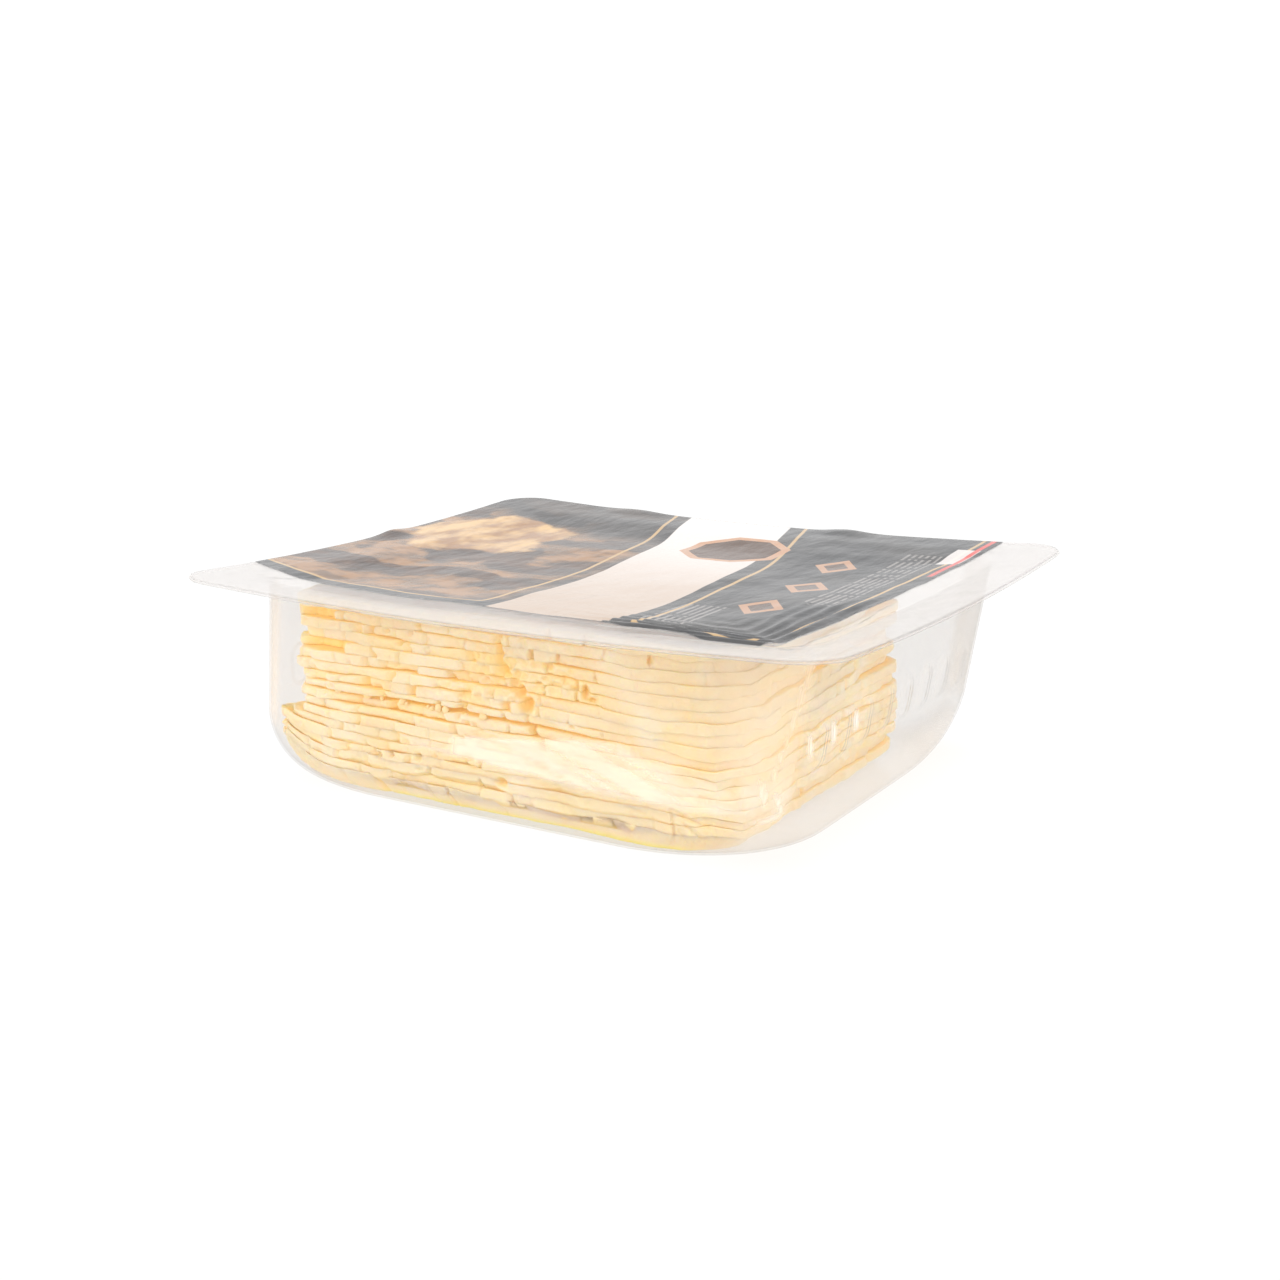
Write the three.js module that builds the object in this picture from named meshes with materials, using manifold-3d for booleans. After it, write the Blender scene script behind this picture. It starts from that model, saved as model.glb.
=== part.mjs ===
// A sealed pack of sliced cheese: a clear formed tray with a flat rim, a stack of torn-edged
// slices lying in its front left, and a slack film sealed on the rim.
// Millimetres, +Z up. The origin is under the middle of the rim, on the surface the pack stands on.
// The wide front wall faces -Y and the ribbed walls face +X and -X.

import * as THREE from 'three';
import { mergeVertices } from 'three/addons/utils/BufferGeometryUtils.js';
import Module from 'manifold-3d';

const wasm = await Module();
wasm.setup();

// Driving dimensions of the tray
const RIM_WIDTH = 160;
const RIM_DEPTH = 135;
const RIM_HEIGHT = 45.5;
const RIM_BORDER = 11.5;
const RIM_CORNER = 10;
const RIM_CURL = 2.2;
const SHEET = 0.6;
const WALL_CORNER_TOP = 13;
const WALL_CORNER_KINK = 10;
const KINK_HEIGHT = 17;
const KINK_INSET = 1.9;
const BASE_INSET = 4;
const BASE_CORNER = 36;
const BASE_CORNER_GROWTH = 1.8;
const BASE_SHIFT_X = -4;
const BASE_SHIFT_Y = -3;
const FILLET_HEIGHT = 1.4;
const FILLET_OUTER = 0.9;
const FILLET_INNER = 0.4;
const BOWL_RINGS = 5;
const WALL_RINGS = 2;

// Driving dimensions of the ribs on the two side walls
const RIB_COUNT = 8;
const RIB_PITCH = 10.7;
const RIB_WIDTH = 7;
const RIB_LENGTH = 9;
const RIB_RELIEF = 1;
const RIB_HEIGHT = 23;
const RIB_LEVELS = [
  { out: -SHEET / 2, size: 1 },
  { out: 0.55 * RIB_RELIEF, size: 0.82 },
  { out: RIB_RELIEF, size: 0.45 },
];

// Driving dimensions of the slices
const SLICE_COUNT = 18;
const SLICE_PITCH = 2.36;
const SLICE_WIDTH = 110;
const SLICE_DEPTH = 86;
const STACK_CENTRE_X = -1.5;
const STACK_BASE = 1.05;
const STACK_HEIGHT = SLICE_COUNT * SLICE_PITCH;
const REACH_LEFT = -62.5;
const REACH_FRONT = -53.9;
const REACH_WIDTH = 118;
const REACH_DEPTH = 88.5;
const REACH_CORNER = 6;
const LOW_SLICE_SHIFT = -4;
const LOW_SLICES = 6;
const FREE_HEIGHT = 24;
const BOWL_CLEARANCE = 0.5;
const BOWL_RISE_LIMIT = 7;
const GAP = 0.32;
const EDGE_THINNING = 0.2;
const SIZE_SCATTER = 1;
const SIDEWAYS_SCATTER = 0.8;
const FRONT_SCATTER = 1;
const TURN_SCATTER_DEG = 0.6;
const SLICE_CORNER = 3;
const LOW_SLICE_CORNER = 7;
const FRONT_BREAK = { shortest: 6, longest: 26 };
const SIDE_BREAK = { shortest: 10, longest: 34 };
const DEEP_BREAK_SHARE = 0.16;
const TEAR_DEPTH = 1.5;
const SLICE_WAVE = 0.35;
const CORNER_DROOP = 1.6;
const PARTING_SLICE = 10;
const PARTING_HEIGHT = 1;

// Driving dimensions of the film
const FILM = 0.2;
const FILM_SAG = 1.25;
const FILM_FOLD = 0.3;
const FILM_SLACK_RUN = 22;
const FILM_EDGE_INSET = 0.4;
const FILM_RING_INSETS = [50, 36, 25, 17, RIM_BORDER, FILM_EDGE_INSET];

// Steps round one plan outline, the same for every ring of a piece
const TRAY_STEPS = { front: 8, right: 7, back: 8, left: 7, corner: 5 };
const SLICE_STEPS = { front: 20, right: 9, back: 4, left: 7, corner: 2 };
const RIB_STEPS = { front: 1, right: 1, back: 1, left: 1, corner: 2 };

// Repeatable random numbers from 0 to 1
function randomFrom(seed) {
  let state = seed >>> 0;
  return function next() {
    state = (state + 0x6d2b79f5) >>> 0;
    let mixed = Math.imul(state ^ (state >>> 15), 1 | state);
    mixed = (mixed + Math.imul(mixed ^ (mixed >>> 7), 61 | mixed)) ^ mixed;
    return ((mixed ^ (mixed >>> 14)) >>> 0) / 4294967296;
  };
}

function smooth(value) {
  const clamped = THREE.MathUtils.clamp(value, 0, 1);
  return clamped * clamped * (3 - 2 * clamped);
}

// A rounded rectangle as points, anticlockwise from the right end of the front side
function roundedPlan(width, depth, radius, steps, centreX = 0, centreY = 0) {
  const halfX = width / 2 - radius;
  const halfY = depth / 2 - radius;
  const corners = [
    { x: halfX, y: -halfY, start: -Math.PI / 2, along: [0, 1], length: 2 * halfY, count: steps.right },
    { x: halfX, y: halfY, start: 0, along: [-1, 0], length: 2 * halfX, count: steps.back },
    { x: -halfX, y: halfY, start: Math.PI / 2, along: [0, -1], length: 2 * halfY, count: steps.left },
    { x: -halfX, y: -halfY, start: Math.PI, along: [1, 0], length: 2 * halfX, count: steps.front },
  ];
  const points = [];
  for (const corner of corners) {
    for (let i = 0; i < steps.corner; i += 1) {
      const angle = corner.start + (i / steps.corner) * (Math.PI / 2);
      const x = centreX + corner.x + radius * Math.cos(angle);
      const y = centreY + corner.y + radius * Math.sin(angle);
      points.push(new THREE.Vector2(x, y));
    }
    const endAngle = corner.start + Math.PI / 2;
    const endX = centreX + corner.x + radius * Math.cos(endAngle);
    const endY = centreY + corner.y + radius * Math.sin(endAngle);
    for (let i = 0; i < corner.count; i += 1) {
      const run = (i / corner.count) * corner.length;
      points.push(new THREE.Vector2(endX + corner.along[0] * run, endY + corner.along[1] * run));
    }
  }
  return points;
}

// A closed body through rings of equal count, with a fan over its first and its last ring.
// Rings run anticlockwise seen from above, from the lower end of the skin to the upper end.
// From the ring turnFrom on, quads are split the other way, so that both faces of a sheet match.
function loft(rings, firstCentre, lastCentre, turnFrom = rings.length) {
  const count = rings[0].length;
  const positions = [];
  for (const ring of rings) {
    for (const point of ring) {
      positions.push(point.x, point.y, point.z);
    }
  }
  const firstIndex = rings.length * count;
  positions.push(firstCentre.x, firstCentre.y, firstCentre.z);
  positions.push(lastCentre.x, lastCentre.y, lastCentre.z);
  const index = [];
  for (let r = 0; r + 1 < rings.length; r += 1) {
    for (let i = 0; i < count; i += 1) {
      const j = (i + 1) % count;
      const low = r * count;
      const high = low + count;
      if (r < turnFrom) {
        index.push(low + i, low + j, high + j, low + i, high + j, high + i);
      } else {
        index.push(low + i, low + j, high + i, low + j, high + j, high + i);
      }
    }
  }
  const lastRow = (rings.length - 1) * count;
  for (let i = 0; i < count; i += 1) {
    const j = (i + 1) % count;
    index.push(firstIndex, j, i);
    index.push(firstIndex + 1, lastRow + i, lastRow + j);
  }
  const geometry = new THREE.BufferGeometry();
  geometry.setAttribute('position', new THREE.Float32BufferAttribute(positions, 3));
  geometry.setIndex(index);
  return geometry;
}

function toManifold(geometry) {
  const bare = geometry.clone();
  bare.deleteAttribute('normal');
  bare.deleteAttribute('uv');
  const merged = mergeVertices(bare, 1e-4);
  const vertProperties = new Float32Array(merged.attributes.position.array);
  const triVerts = new Uint32Array(merged.index.array);
  return new wasm.Manifold(new wasm.Mesh({ numProp: 3, vertProperties, triVerts }));
}

function fromManifold(solid) {
  const mesh = solid.getMesh();
  const geometry = new THREE.BufferGeometry();
  geometry.setAttribute('position', new THREE.Float32BufferAttribute(mesh.vertProperties, 3));
  geometry.setIndex(Array.from(mesh.triVerts));
  return geometry;
}

function nameMesh(name, geometry, colour, roughness, extra = {}) {
  const material = new THREE.MeshStandardMaterial({ color: colour, roughness, metalness: 0, ...extra });
  const shaded = geometry.clone();
  shaded.computeVertexNormals();
  const mesh = new THREE.Mesh(shaded, material);
  mesh.name = name;
  return mesh;
}

// The corners of the rim curl up, and the walls just under them follow
function rimCurl(x, y) {
  const alongX = (2 * x) / RIM_WIDTH;
  const alongY = (2 * y) / RIM_DEPTH;
  return RIM_CURL * alongX * alongX * alongY * alongY;
}

// Plan of the tray wall at one height, moved in by a further distance.
// The base stands a little to the left and front of the rim, as the filled side is pushed out.
function wallSection(height, further) {
  const above = Math.max(0, height - KINK_HEIGHT) / (RIM_HEIGHT - KINK_HEIGHT);
  const below = THREE.MathUtils.clamp((KINK_HEIGHT - height) / KINK_HEIGHT, 0, 1);
  const upperInset = KINK_INSET * (1 - above);
  const lowerInset = BASE_INSET * (1 - Math.sqrt(Math.max(0, 1 - below * below)));
  const inset = (height > KINK_HEIGHT ? upperInset : KINK_INSET + lowerInset) + further;
  const arc = (2 / Math.PI) * Math.asin(below);
  const upperCorner = THREE.MathUtils.lerp(WALL_CORNER_KINK, WALL_CORNER_TOP, above);
  const lowerCorner = THREE.MathUtils.lerp(WALL_CORNER_KINK, BASE_CORNER, arc ** BASE_CORNER_GROWTH);
  const lean = 1 - height / RIM_HEIGHT;
  return {
    width: RIM_WIDTH - 2 * RIM_BORDER - 2 * inset,
    depth: RIM_DEPTH - 2 * RIM_BORDER - 2 * inset,
    radius: (height > KINK_HEIGHT ? upperCorner : lowerCorner) - further,
    centreX: BASE_SHIFT_X * lean,
    centreY: BASE_SHIFT_Y * lean,
  };
}

function wallRing(height, further, raise) {
  const s = wallSection(height, further);
  const plan = roundedPlan(s.width, s.depth, s.radius, TRAY_STEPS, s.centreX, s.centreY);
  const share = Math.max(0, height / RIM_HEIGHT) ** 4;
  return plan.map((p) => new THREE.Vector3(p.x, p.y, height + raise + share * rimCurl(p.x, p.y)));
}

function rimRing(inset, height) {
  const width = RIM_WIDTH - 2 * inset;
  const depth = RIM_DEPTH - 2 * inset;
  const radius = THREE.MathUtils.lerp(RIM_CORNER, WALL_CORNER_TOP, inset / RIM_BORDER);
  const plan = roundedPlan(width, depth, radius, TRAY_STEPS);
  return plan.map((p) => new THREE.Vector3(p.x, p.y, height + rimCurl(p.x, p.y)));
}

// One rib: a low arch-ended boss that swells outward from a side wall
function ribGeometry(side, centreY) {
  const section = wallSection(RIB_HEIGHT, 0);
  const slope = (wallSection(RIB_HEIGHT + 1, 0).width - section.width) / 2;
  const lean = -BASE_SHIFT_X / RIM_HEIGHT;
  const wallX = section.centreX + side * (section.width / 2);
  const rings = RIB_LEVELS.map((level) => {
    const width = RIB_WIDTH * level.size;
    const length = RIB_LENGTH - RIB_WIDTH * (1 - level.size);
    const plan = roundedPlan(width, length, width / 2 - 0.05, RIB_STEPS);
    return plan.map((p) => {
      const x = wallX + side * (level.out + slope * p.y) + lean * p.y;
      return new THREE.Vector3(x, centreY + side * p.x, RIB_HEIGHT + p.y);
    });
  });
  const first = new THREE.Vector3(wallX + side * RIB_LEVELS[0].out, centreY, RIB_HEIGHT);
  const last = new THREE.Vector3(wallX + side * RIB_RELIEF, centreY, RIB_HEIGHT);
  return loft(rings, first, last);
}

function trayGeometry() {
  const rings = [];
  for (let i = 0; i <= BOWL_RINGS; i += 1) {
    const arc = (1 - i / BOWL_RINGS) * (Math.PI / 2);
    rings.push(wallRing(KINK_HEIGHT * (1 - Math.sin(arc)), 0, 0));
  }
  const wallTop = RIM_HEIGHT - FILLET_HEIGHT;
  for (let i = 1; i <= WALL_RINGS; i += 1) {
    rings.push(wallRing(THREE.MathUtils.lerp(KINK_HEIGHT, wallTop, i / WALL_RINGS), 0, 0));
  }
  rings.push(rimRing(RIM_BORDER - FILLET_OUTER, RIM_HEIGHT - SHEET));
  rings.push(rimRing(0, RIM_HEIGHT - SHEET));
  rings.push(rimRing(0, RIM_HEIGHT));
  rings.push(rimRing(RIM_BORDER - FILLET_INNER, RIM_HEIGHT));
  for (let i = WALL_RINGS; i >= 0; i -= 1) {
    rings.push(wallRing(THREE.MathUtils.lerp(KINK_HEIGHT, wallTop, i / WALL_RINGS), SHEET, 0));
  }
  for (let i = BOWL_RINGS - 1; i >= 0; i -= 1) {
    const arc = (1 - i / BOWL_RINGS) * (Math.PI / 2);
    const raise = SHEET * Math.sin(arc);
    rings.push(wallRing(KINK_HEIGHT * (1 - Math.sin(arc)), SHEET, raise));
  }
  const floorCentre = new THREE.Vector3(BASE_SHIFT_X, BASE_SHIFT_Y, 0);
  const insideCentre = new THREE.Vector3(BASE_SHIFT_X, BASE_SHIFT_Y, SHEET);
  let tray = toManifold(loft(rings, floorCentre, insideCentre));
  for (const side of [-1, 1]) {
    for (let i = 0; i < RIB_COUNT; i += 1) {
      const centreY = BASE_SHIFT_Y / 2 + (i - (RIB_COUNT - 1) / 2) * RIB_PITCH;
      tray = tray.add(toManifold(ribGeometry(side, centreY)));
    }
  }
  return fromManifold(tray);
}

// How far a point lies outside a rounded plan section, negative inside it
function outsideSection(x, y, section) {
  const dx = Math.abs(x - section.centreX) - (section.width / 2 - section.radius);
  const dy = Math.abs(y - section.centreY) - (section.depth / 2 - section.radius);
  const outer = Math.hypot(Math.max(dx, 0), Math.max(dy, 0));
  return outer + Math.min(Math.max(dx, dy), 0) - section.radius;
}

// The value from 0 to 1 at which a test turns from false to true
function turningPoint(isPast) {
  let low = 0;
  let high = 1;
  for (let i = 0; i < 16; i += 1) {
    const middle = (low + high) / 2;
    const past = isPast(middle);
    low = past ? low : middle;
    high = past ? middle : high;
  }
  return low;
}

// Height of the bowl's inner face above its flat floor, under a point of the plan
function bowlLift(x, y) {
  const holds = (share) => {
    const section = wallSection(share * KINK_HEIGHT, SHEET + BOWL_CLEARANCE);
    return outsideSection(x, y, section) <= 0;
  };
  return KINK_HEIGHT * turningPoint(holds);
}

// The slices dip and rise a little together, and droop at the front right corner
function sag(x, y, height) {
  const middleShare = Math.sin((Math.PI * height) / STACK_HEIGHT);
  const wave = SLICE_WAVE * Math.sin(x / 17 + 0.6) * Math.cos(y / 23);
  const droop = CORNER_DROOP * smooth((x - 8) / 50) * smooth((5 - y) / 60);
  return (wave - droop) * middleShare;
}

// Height of the joint between two slices; joint 0 is the underside of the stack
function jointHeight(number, x, y) {
  const height = number * SLICE_PITCH;
  const free = 1 - Math.min(1, height / FREE_HEIGHT);
  return STACK_BASE + height + bowlLift(x, y) * free + sag(x, y, height);
}

// The long hollow at the front, where the upper slices have parted from the lower ones
function partingGap(number, x, y) {
  if (number !== PARTING_SLICE) {
    return 0;
  }
  return PARTING_HEIGHT * smooth((-y - 22) / 34) * Math.exp(-(((x + 14) / 34) ** 2));
}

// Plan that no slice passes: rays from its middle carry the points of every slice
const reachPlan = { width: REACH_WIDTH, depth: REACH_DEPTH, radius: REACH_CORNER };
reachPlan.centreX = REACH_LEFT + REACH_WIDTH / 2;
reachPlan.centreY = REACH_FRONT + REACH_DEPTH / 2;
const reachMiddle = new THREE.Vector2(reachPlan.centreX, reachPlan.centreY);
const bowlLimit = wallSection(BOWL_RISE_LIMIT, SHEET + BOWL_CLEARANCE);
const rimLimit = wallSection(RIM_HEIGHT, SHEET + BOWL_CLEARANCE);
const reachOutline = roundedPlan(
  reachPlan.width,
  reachPlan.depth,
  reachPlan.radius,
  SLICE_STEPS,
  reachPlan.centreX,
  reachPlan.centreY,
).map((p) => {
  const share = turningPoint((s) => {
    const x = reachMiddle.x + (p.x - reachMiddle.x) * s;
    const y = reachMiddle.y + (p.y - reachMiddle.y) * s;
    return Math.max(outsideSection(x, y, bowlLimit), outsideSection(x, y, rimLimit)) > 0;
  });
  return reachMiddle.clone().lerp(p, share);
});

// Every slice has a ring at this share of the reach, and its own torn edge beyond it
const RING_SHARE = 0.82;
const HEIGHT_STOPS = [0, RING_SHARE, 1];

function onRay(column, share) {
  return reachMiddle.clone().lerp(reachOutline[column], share);
}

// The height of one joint on one ray, straight between the stops, so that faces never cross
function heightOnRay(heights, share) {
  const upper = Math.max(1, HEIGHT_STOPS.findIndex((stop) => stop >= share));
  const local = (share - HEIGHT_STOPS[upper - 1]) / (HEIGHT_STOPS[upper] - HEIGHT_STOPS[upper - 1]);
  return THREE.MathUtils.lerp(heights[upper - 1], heights[upper], local);
}

function faceHeights(number, column, top) {
  return HEIGHT_STOPS.map((share) => {
    const p = onRay(column, share);
    const half = GAP / 2 + (share === 1 ? EDGE_THINNING : 0);
    if (top) {
      return jointHeight(number, p.x, p.y) - half;
    }
    return jointHeight(number - 1, p.x, p.y) + half + partingGap(number, p.x, p.y);
  });
}

// One side of a slice is broken into short lengths that stand out by different amounts
function brokenEdge(random, size, length) {
  const breaks = [];
  let end = 0;
  while (end < length) {
    end += size.shortest + random() * (size.longest - size.shortest);
    const deep = random() < DEEP_BREAK_SHARE;
    const depth = deep ? 0.8 + 0.8 * random() : 0.75 * random();
    breaks.push({ end, depth: depth * TEAR_DEPTH });
  }
  return function depthAt(run) {
    const piece = breaks.find((candidate) => candidate.end >= run);
    return (piece ?? breaks[breaks.length - 1]).depth;
  };
}

// How far along each ray a slice reaches: its own plan, a little turned and shifted, with torn sides
function sliceShares(number, random) {
  const scatter = (size) => size * (2 * random() - 1);
  const low = 1 - smooth((number - 1) / LOW_SLICES);
  const width = SLICE_WIDTH + scatter(SIZE_SCATTER);
  const depth = SLICE_DEPTH + scatter(SIZE_SCATTER);
  const centreX = STACK_CENTRE_X + LOW_SLICE_SHIFT * low + scatter(SIDEWAYS_SCATTER);
  const centreY = REACH_FRONT + GAP + FRONT_SCATTER * random() + depth / 2;
  const turn = THREE.MathUtils.degToRad(scatter(TURN_SCATTER_DEG));
  const radius = THREE.MathUtils.lerp(SLICE_CORNER, LOW_SLICE_CORNER, low);
  const plan = { width, depth, radius, centreX: 0, centreY: 0 };
  const front = brokenEdge(random, FRONT_BREAK, width);
  const side = brokenEdge(random, SIDE_BREAK, 2 * depth);
  return reachOutline.map((end) => {
    const onFront = end.y < REACH_FRONT + LOW_SLICE_CORNER;
    const run = onFront ? end.x - REACH_LEFT : end.y - REACH_FRONT + (end.x > 0 ? depth : 0);
    const tear = onFront ? front(run) : side(run);
    return turningPoint((share) => {
      const p = reachMiddle.clone().lerp(end, share);
      p.sub(new THREE.Vector2(centreX, centreY)).rotateAround(new THREE.Vector2(), -turn);
      return outsideSection(p.x, p.y, plan) > -tear;
    });
  });
}

function sliceGeometry(number) {
  const shares = sliceShares(number, randomFrom(7919 * number + 31));
  const lowHeights = shares.map((share, column) => faceHeights(number, column, false));
  const highHeights = shares.map((share, column) => faceHeights(number, column, true));
  const ringAt = (shareOf, heights) => shares.map((share, column) => {
    const kept = shareOf(share);
    const p = onRay(column, kept);
    return new THREE.Vector3(p.x, p.y, heightOnRay(heights[column], kept));
  });
  const rings = [
    ringAt(() => RING_SHARE, lowHeights),
    ringAt((share) => share, lowHeights),
    ringAt((share) => share, highHeights),
    ringAt(() => RING_SHARE, highHeights),
  ];
  const turnFrom = 2;
  const low = new THREE.Vector3(reachMiddle.x, reachMiddle.y, lowHeights[0][0]);
  const high = new THREE.Vector3(reachMiddle.x, reachMiddle.y, highHeights[0][0]);
  return loft(rings, low, high, turnFrom);
}

// Height of the film's underside over the rim's plane: flat on the rim, slack and wavy inside it
function filmHeight(x, y) {
  const innerX = RIM_WIDTH / 2 - RIM_BORDER;
  const innerY = RIM_DEPTH / 2 - RIM_BORDER;
  const inside = Math.min(innerX - Math.abs(x), innerY - Math.abs(y));
  const slack = smooth(inside / FILM_SLACK_RUN);
  const folds = FILM_FOLD * Math.sin(x / 9 + y / 21) * Math.cos(y / 12 - x / 30);
  return RIM_HEIGHT + GAP + rimCurl(x, y) * (1 - slack) + slack * (folds - FILM_SAG);
}

function filmRing(inset, raise) {
  const width = RIM_WIDTH - 2 * inset;
  const depth = RIM_DEPTH - 2 * inset;
  const radius = Math.max(RIM_CORNER - 0.4 * inset, 2);
  const plan = roundedPlan(width, depth, radius, TRAY_STEPS);
  return plan.map((p) => new THREE.Vector3(p.x, p.y, filmHeight(p.x, p.y) + raise));
}

function filmGeometry() {
  const rings = FILM_RING_INSETS.map((inset) => filmRing(inset, 0));
  for (const inset of FILM_RING_INSETS.slice().reverse()) {
    rings.push(filmRing(inset, FILM));
  }
  const low = new THREE.Vector3(0, 0, filmHeight(0, 0));
  const high = new THREE.Vector3(0, 0, filmHeight(0, 0) + FILM);
  return loft(rings, low, high);
}

const group = new THREE.Group();
const clear = { transparent: true, opacity: 0.3 };
group.add(nameMesh('tray', trayGeometry(), '#eef0f0', 0.12, clear));

const stack = new THREE.Group();
for (let number = 1; number <= SLICE_COUNT; number += 1) {
  const name = `slice_${String(number).padStart(2, '0')}`;
  stack.add(nameMesh(name, sliceGeometry(number), '#f6e2ab', 0.5));
}
group.add(stack);

group.add(nameMesh('lid_film', filmGeometry(), '#5f5a58', 0.3));

export default group;
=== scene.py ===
"""A sealed pack of sliced cheese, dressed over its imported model.

A clear formed tray with ribbed ends holds eighteen torn slices under a slack printed film.
Sizes here are millimetres in the pack's own frame, +Z up, and every mesh is made in metres.
"""

import logging
import math
from dataclasses import dataclass
from enum import Enum

import bmesh
import bpy
import numpy as np
from mathutils import Matrix, Vector


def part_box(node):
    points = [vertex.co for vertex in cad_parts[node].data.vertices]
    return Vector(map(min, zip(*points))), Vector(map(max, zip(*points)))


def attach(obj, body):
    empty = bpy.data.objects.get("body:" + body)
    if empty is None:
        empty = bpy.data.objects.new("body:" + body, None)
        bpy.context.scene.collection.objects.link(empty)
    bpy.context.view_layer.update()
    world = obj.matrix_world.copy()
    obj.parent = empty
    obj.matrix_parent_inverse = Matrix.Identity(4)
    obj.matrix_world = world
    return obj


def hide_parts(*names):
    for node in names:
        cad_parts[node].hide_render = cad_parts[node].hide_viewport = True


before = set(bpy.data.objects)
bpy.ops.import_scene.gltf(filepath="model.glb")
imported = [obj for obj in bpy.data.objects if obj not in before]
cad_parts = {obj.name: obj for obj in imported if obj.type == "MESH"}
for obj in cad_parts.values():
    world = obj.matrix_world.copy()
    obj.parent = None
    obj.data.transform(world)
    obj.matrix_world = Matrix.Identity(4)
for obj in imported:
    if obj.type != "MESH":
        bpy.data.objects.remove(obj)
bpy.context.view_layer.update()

LOG = logging.getLogger("cheese_pack")
METRES = 0.001
BODY = "root"
SIDE_ON = 0.98


class Slot(Enum):
    """Material slots of the part's record."""

    TRAY = "clear_tray"
    FILM = "lid_film"
    CHEESE = "cheese"


class Side(Enum):
    """The sides of a plan, in the order in which its outline passes them."""

    RIGHT = 0
    BACK = 1
    LEFT = 2
    FRONT = 3


def smooth(value: np.ndarray | float) -> np.ndarray:
    """Ease a value from 0 to 1, flat at both ends."""
    held = np.clip(value, 0.0, 1.0)
    return held * held * (3.0 - 2.0 * held)


def lerp(start: np.ndarray | float, end: np.ndarray | float, share: np.ndarray | float) -> np.ndarray:
    """Go a share of the way from start to end."""
    return start + (end - start) * share


def hump(value: np.ndarray, centre: np.ndarray | float, width: float, power: int = 2) -> np.ndarray:
    """Give a soft hump that is 1 at its centre and falls off over its width."""
    return np.exp(-(((value - centre) / width) ** power))


@dataclass(frozen=True)
class Crease:
    """A short straight crease: its two ends, and how wide and how deep it is."""

    start: tuple[float, ...]
    end: tuple[float, ...]
    width: float
    depth: float

    def profile(self, places: np.ndarray, trim: float) -> np.ndarray:
        """Give its profile, deepest in the middle of its line and fading toward both ends.

        Args:
            places: Points with as many numbers each as its ends have.
            trim: Share of its line, at each end, over which it fades no further.

        Returns:
            Values from 0 to 1.
        """
        start, line = np.array(self.start), np.array(self.end) - np.array(self.start)
        share = np.clip(((places - start) @ line) / (line @ line), 0, 1)
        apart = np.linalg.norm(places - (start + share[..., None] * line), axis=-1)
        fade = 0.35 + 0.65 * np.sin(math.pi * np.clip(share, trim, 1 - trim))
        return hump(apart, 0.0, self.width) * fade


def node_points(node: str) -> np.ndarray:
    """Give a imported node's vertices as rows of x, y and z in millimetres."""
    return np.array([v.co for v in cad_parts[node].data.vertices]) / METRES


class Grain:
    """Smooth repeatable noise over a plane, from a seeded table."""

    def __init__(self, seed: int, cells: int = 64) -> None:
        """Draw the table.

        Args:
            seed: Number that fixes the table.
            cells: Cells along each side before the noise repeats.
        """
        self.cells = cells
        self.table = np.random.default_rng(seed).uniform(-1.0, 1.0, (cells, cells))

    def at(self, u: np.ndarray | float, v: np.ndarray | float) -> np.ndarray:
        """Read the noise.

        Args:
            u: Places along the first direction, in cells.
            v: Places along the second direction, in cells.

        Returns:
            Values from -1 to 1.
        """
        u, v = np.broadcast_arrays(np.asarray(u, float), np.asarray(v, float))
        i, j = np.floor(u).astype(int), np.floor(v).astype(int)
        a, b = smooth(u - i), smooth(v - j)
        n, table = self.cells, self.table
        low = lerp(table[i % n, j % n], table[(i + 1) % n, j % n], a)
        high = lerp(table[i % n, (j + 1) % n], table[(i + 1) % n, (j + 1) % n], a)
        return lerp(low, high, b)

    def layered(self, u: np.ndarray | float, v: np.ndarray | float, layers: int = 3) -> np.ndarray:
        """Add finer and weaker layers of the noise.

        Args:
            u: Places along the first direction, in cells of the coarsest layer.
            v: Places along the second direction.
            layers: How many layers, each twice as fine and half as strong.

        Returns:
            Values from about -1 to 1.
        """
        total = 0.0
        for layer in range(layers):
            scale = 2.0**layer
            total = total + self.at(np.asarray(u) * scale + 17.3 * layer, np.asarray(v) * scale) / scale
        return total * 0.57


@dataclass(frozen=True)
class PlanRing:
    """Counts of points on the sides and corners of a rounded plan."""

    right: int
    back: int
    left: int
    front: int
    corner: int

    def side_counts(self) -> tuple[int, int, int, int]:
        """Give the counts in the order in which the outline passes the sides."""
        return self.right, self.back, self.left, self.front

    def points(
        self, width: float, depth: float, radius: float, centre_x: float = 0.0, centre_y: float = 0.0
    ) -> tuple[np.ndarray, np.ndarray]:
        """Lay the points round a rounded rectangle, anticlockwise from the front right corner.

        Args:
            width: Size along X.
            depth: Size along Y.
            radius: Radius of the corners.
            centre_x: Middle of the plan along X.
            centre_y: Middle of the plan along Y.

        Returns:
            The points, and the outward direction at each of them, as rows of x and y.
        """
        half_x, half_y = width / 2 - radius, depth / 2 - radius
        corners = ((half_x, -half_y), (half_x, half_y), (-half_x, half_y), (-half_x, -half_y))
        places, outward = [], []
        for k, ((x, y), count) in enumerate(zip(corners, self.side_counts())):
            angles = (k - 1) * math.pi / 2 + np.linspace(0, math.pi / 2, self.corner, endpoint=False)
            around = np.column_stack([np.cos(angles), np.sin(angles)])
            places.append(np.array([x, y]) + radius * around)
            outward.append(around)
            facing = np.array([math.cos(k * math.pi / 2), math.sin(k * math.pi / 2)])
            start = np.array([x, y]) + radius * facing
            end = np.array(corners[(k + 1) % 4]) + radius * facing
            run = np.linspace(0, 1, count, endpoint=False)[:, None]
            places.append(start + (end - start) * run)
            outward.append(np.repeat(facing[None, :], count, axis=0))
        middle = np.array([centre_x, centre_y])
        return np.vstack(places) + middle, np.vstack(outward)


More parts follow.
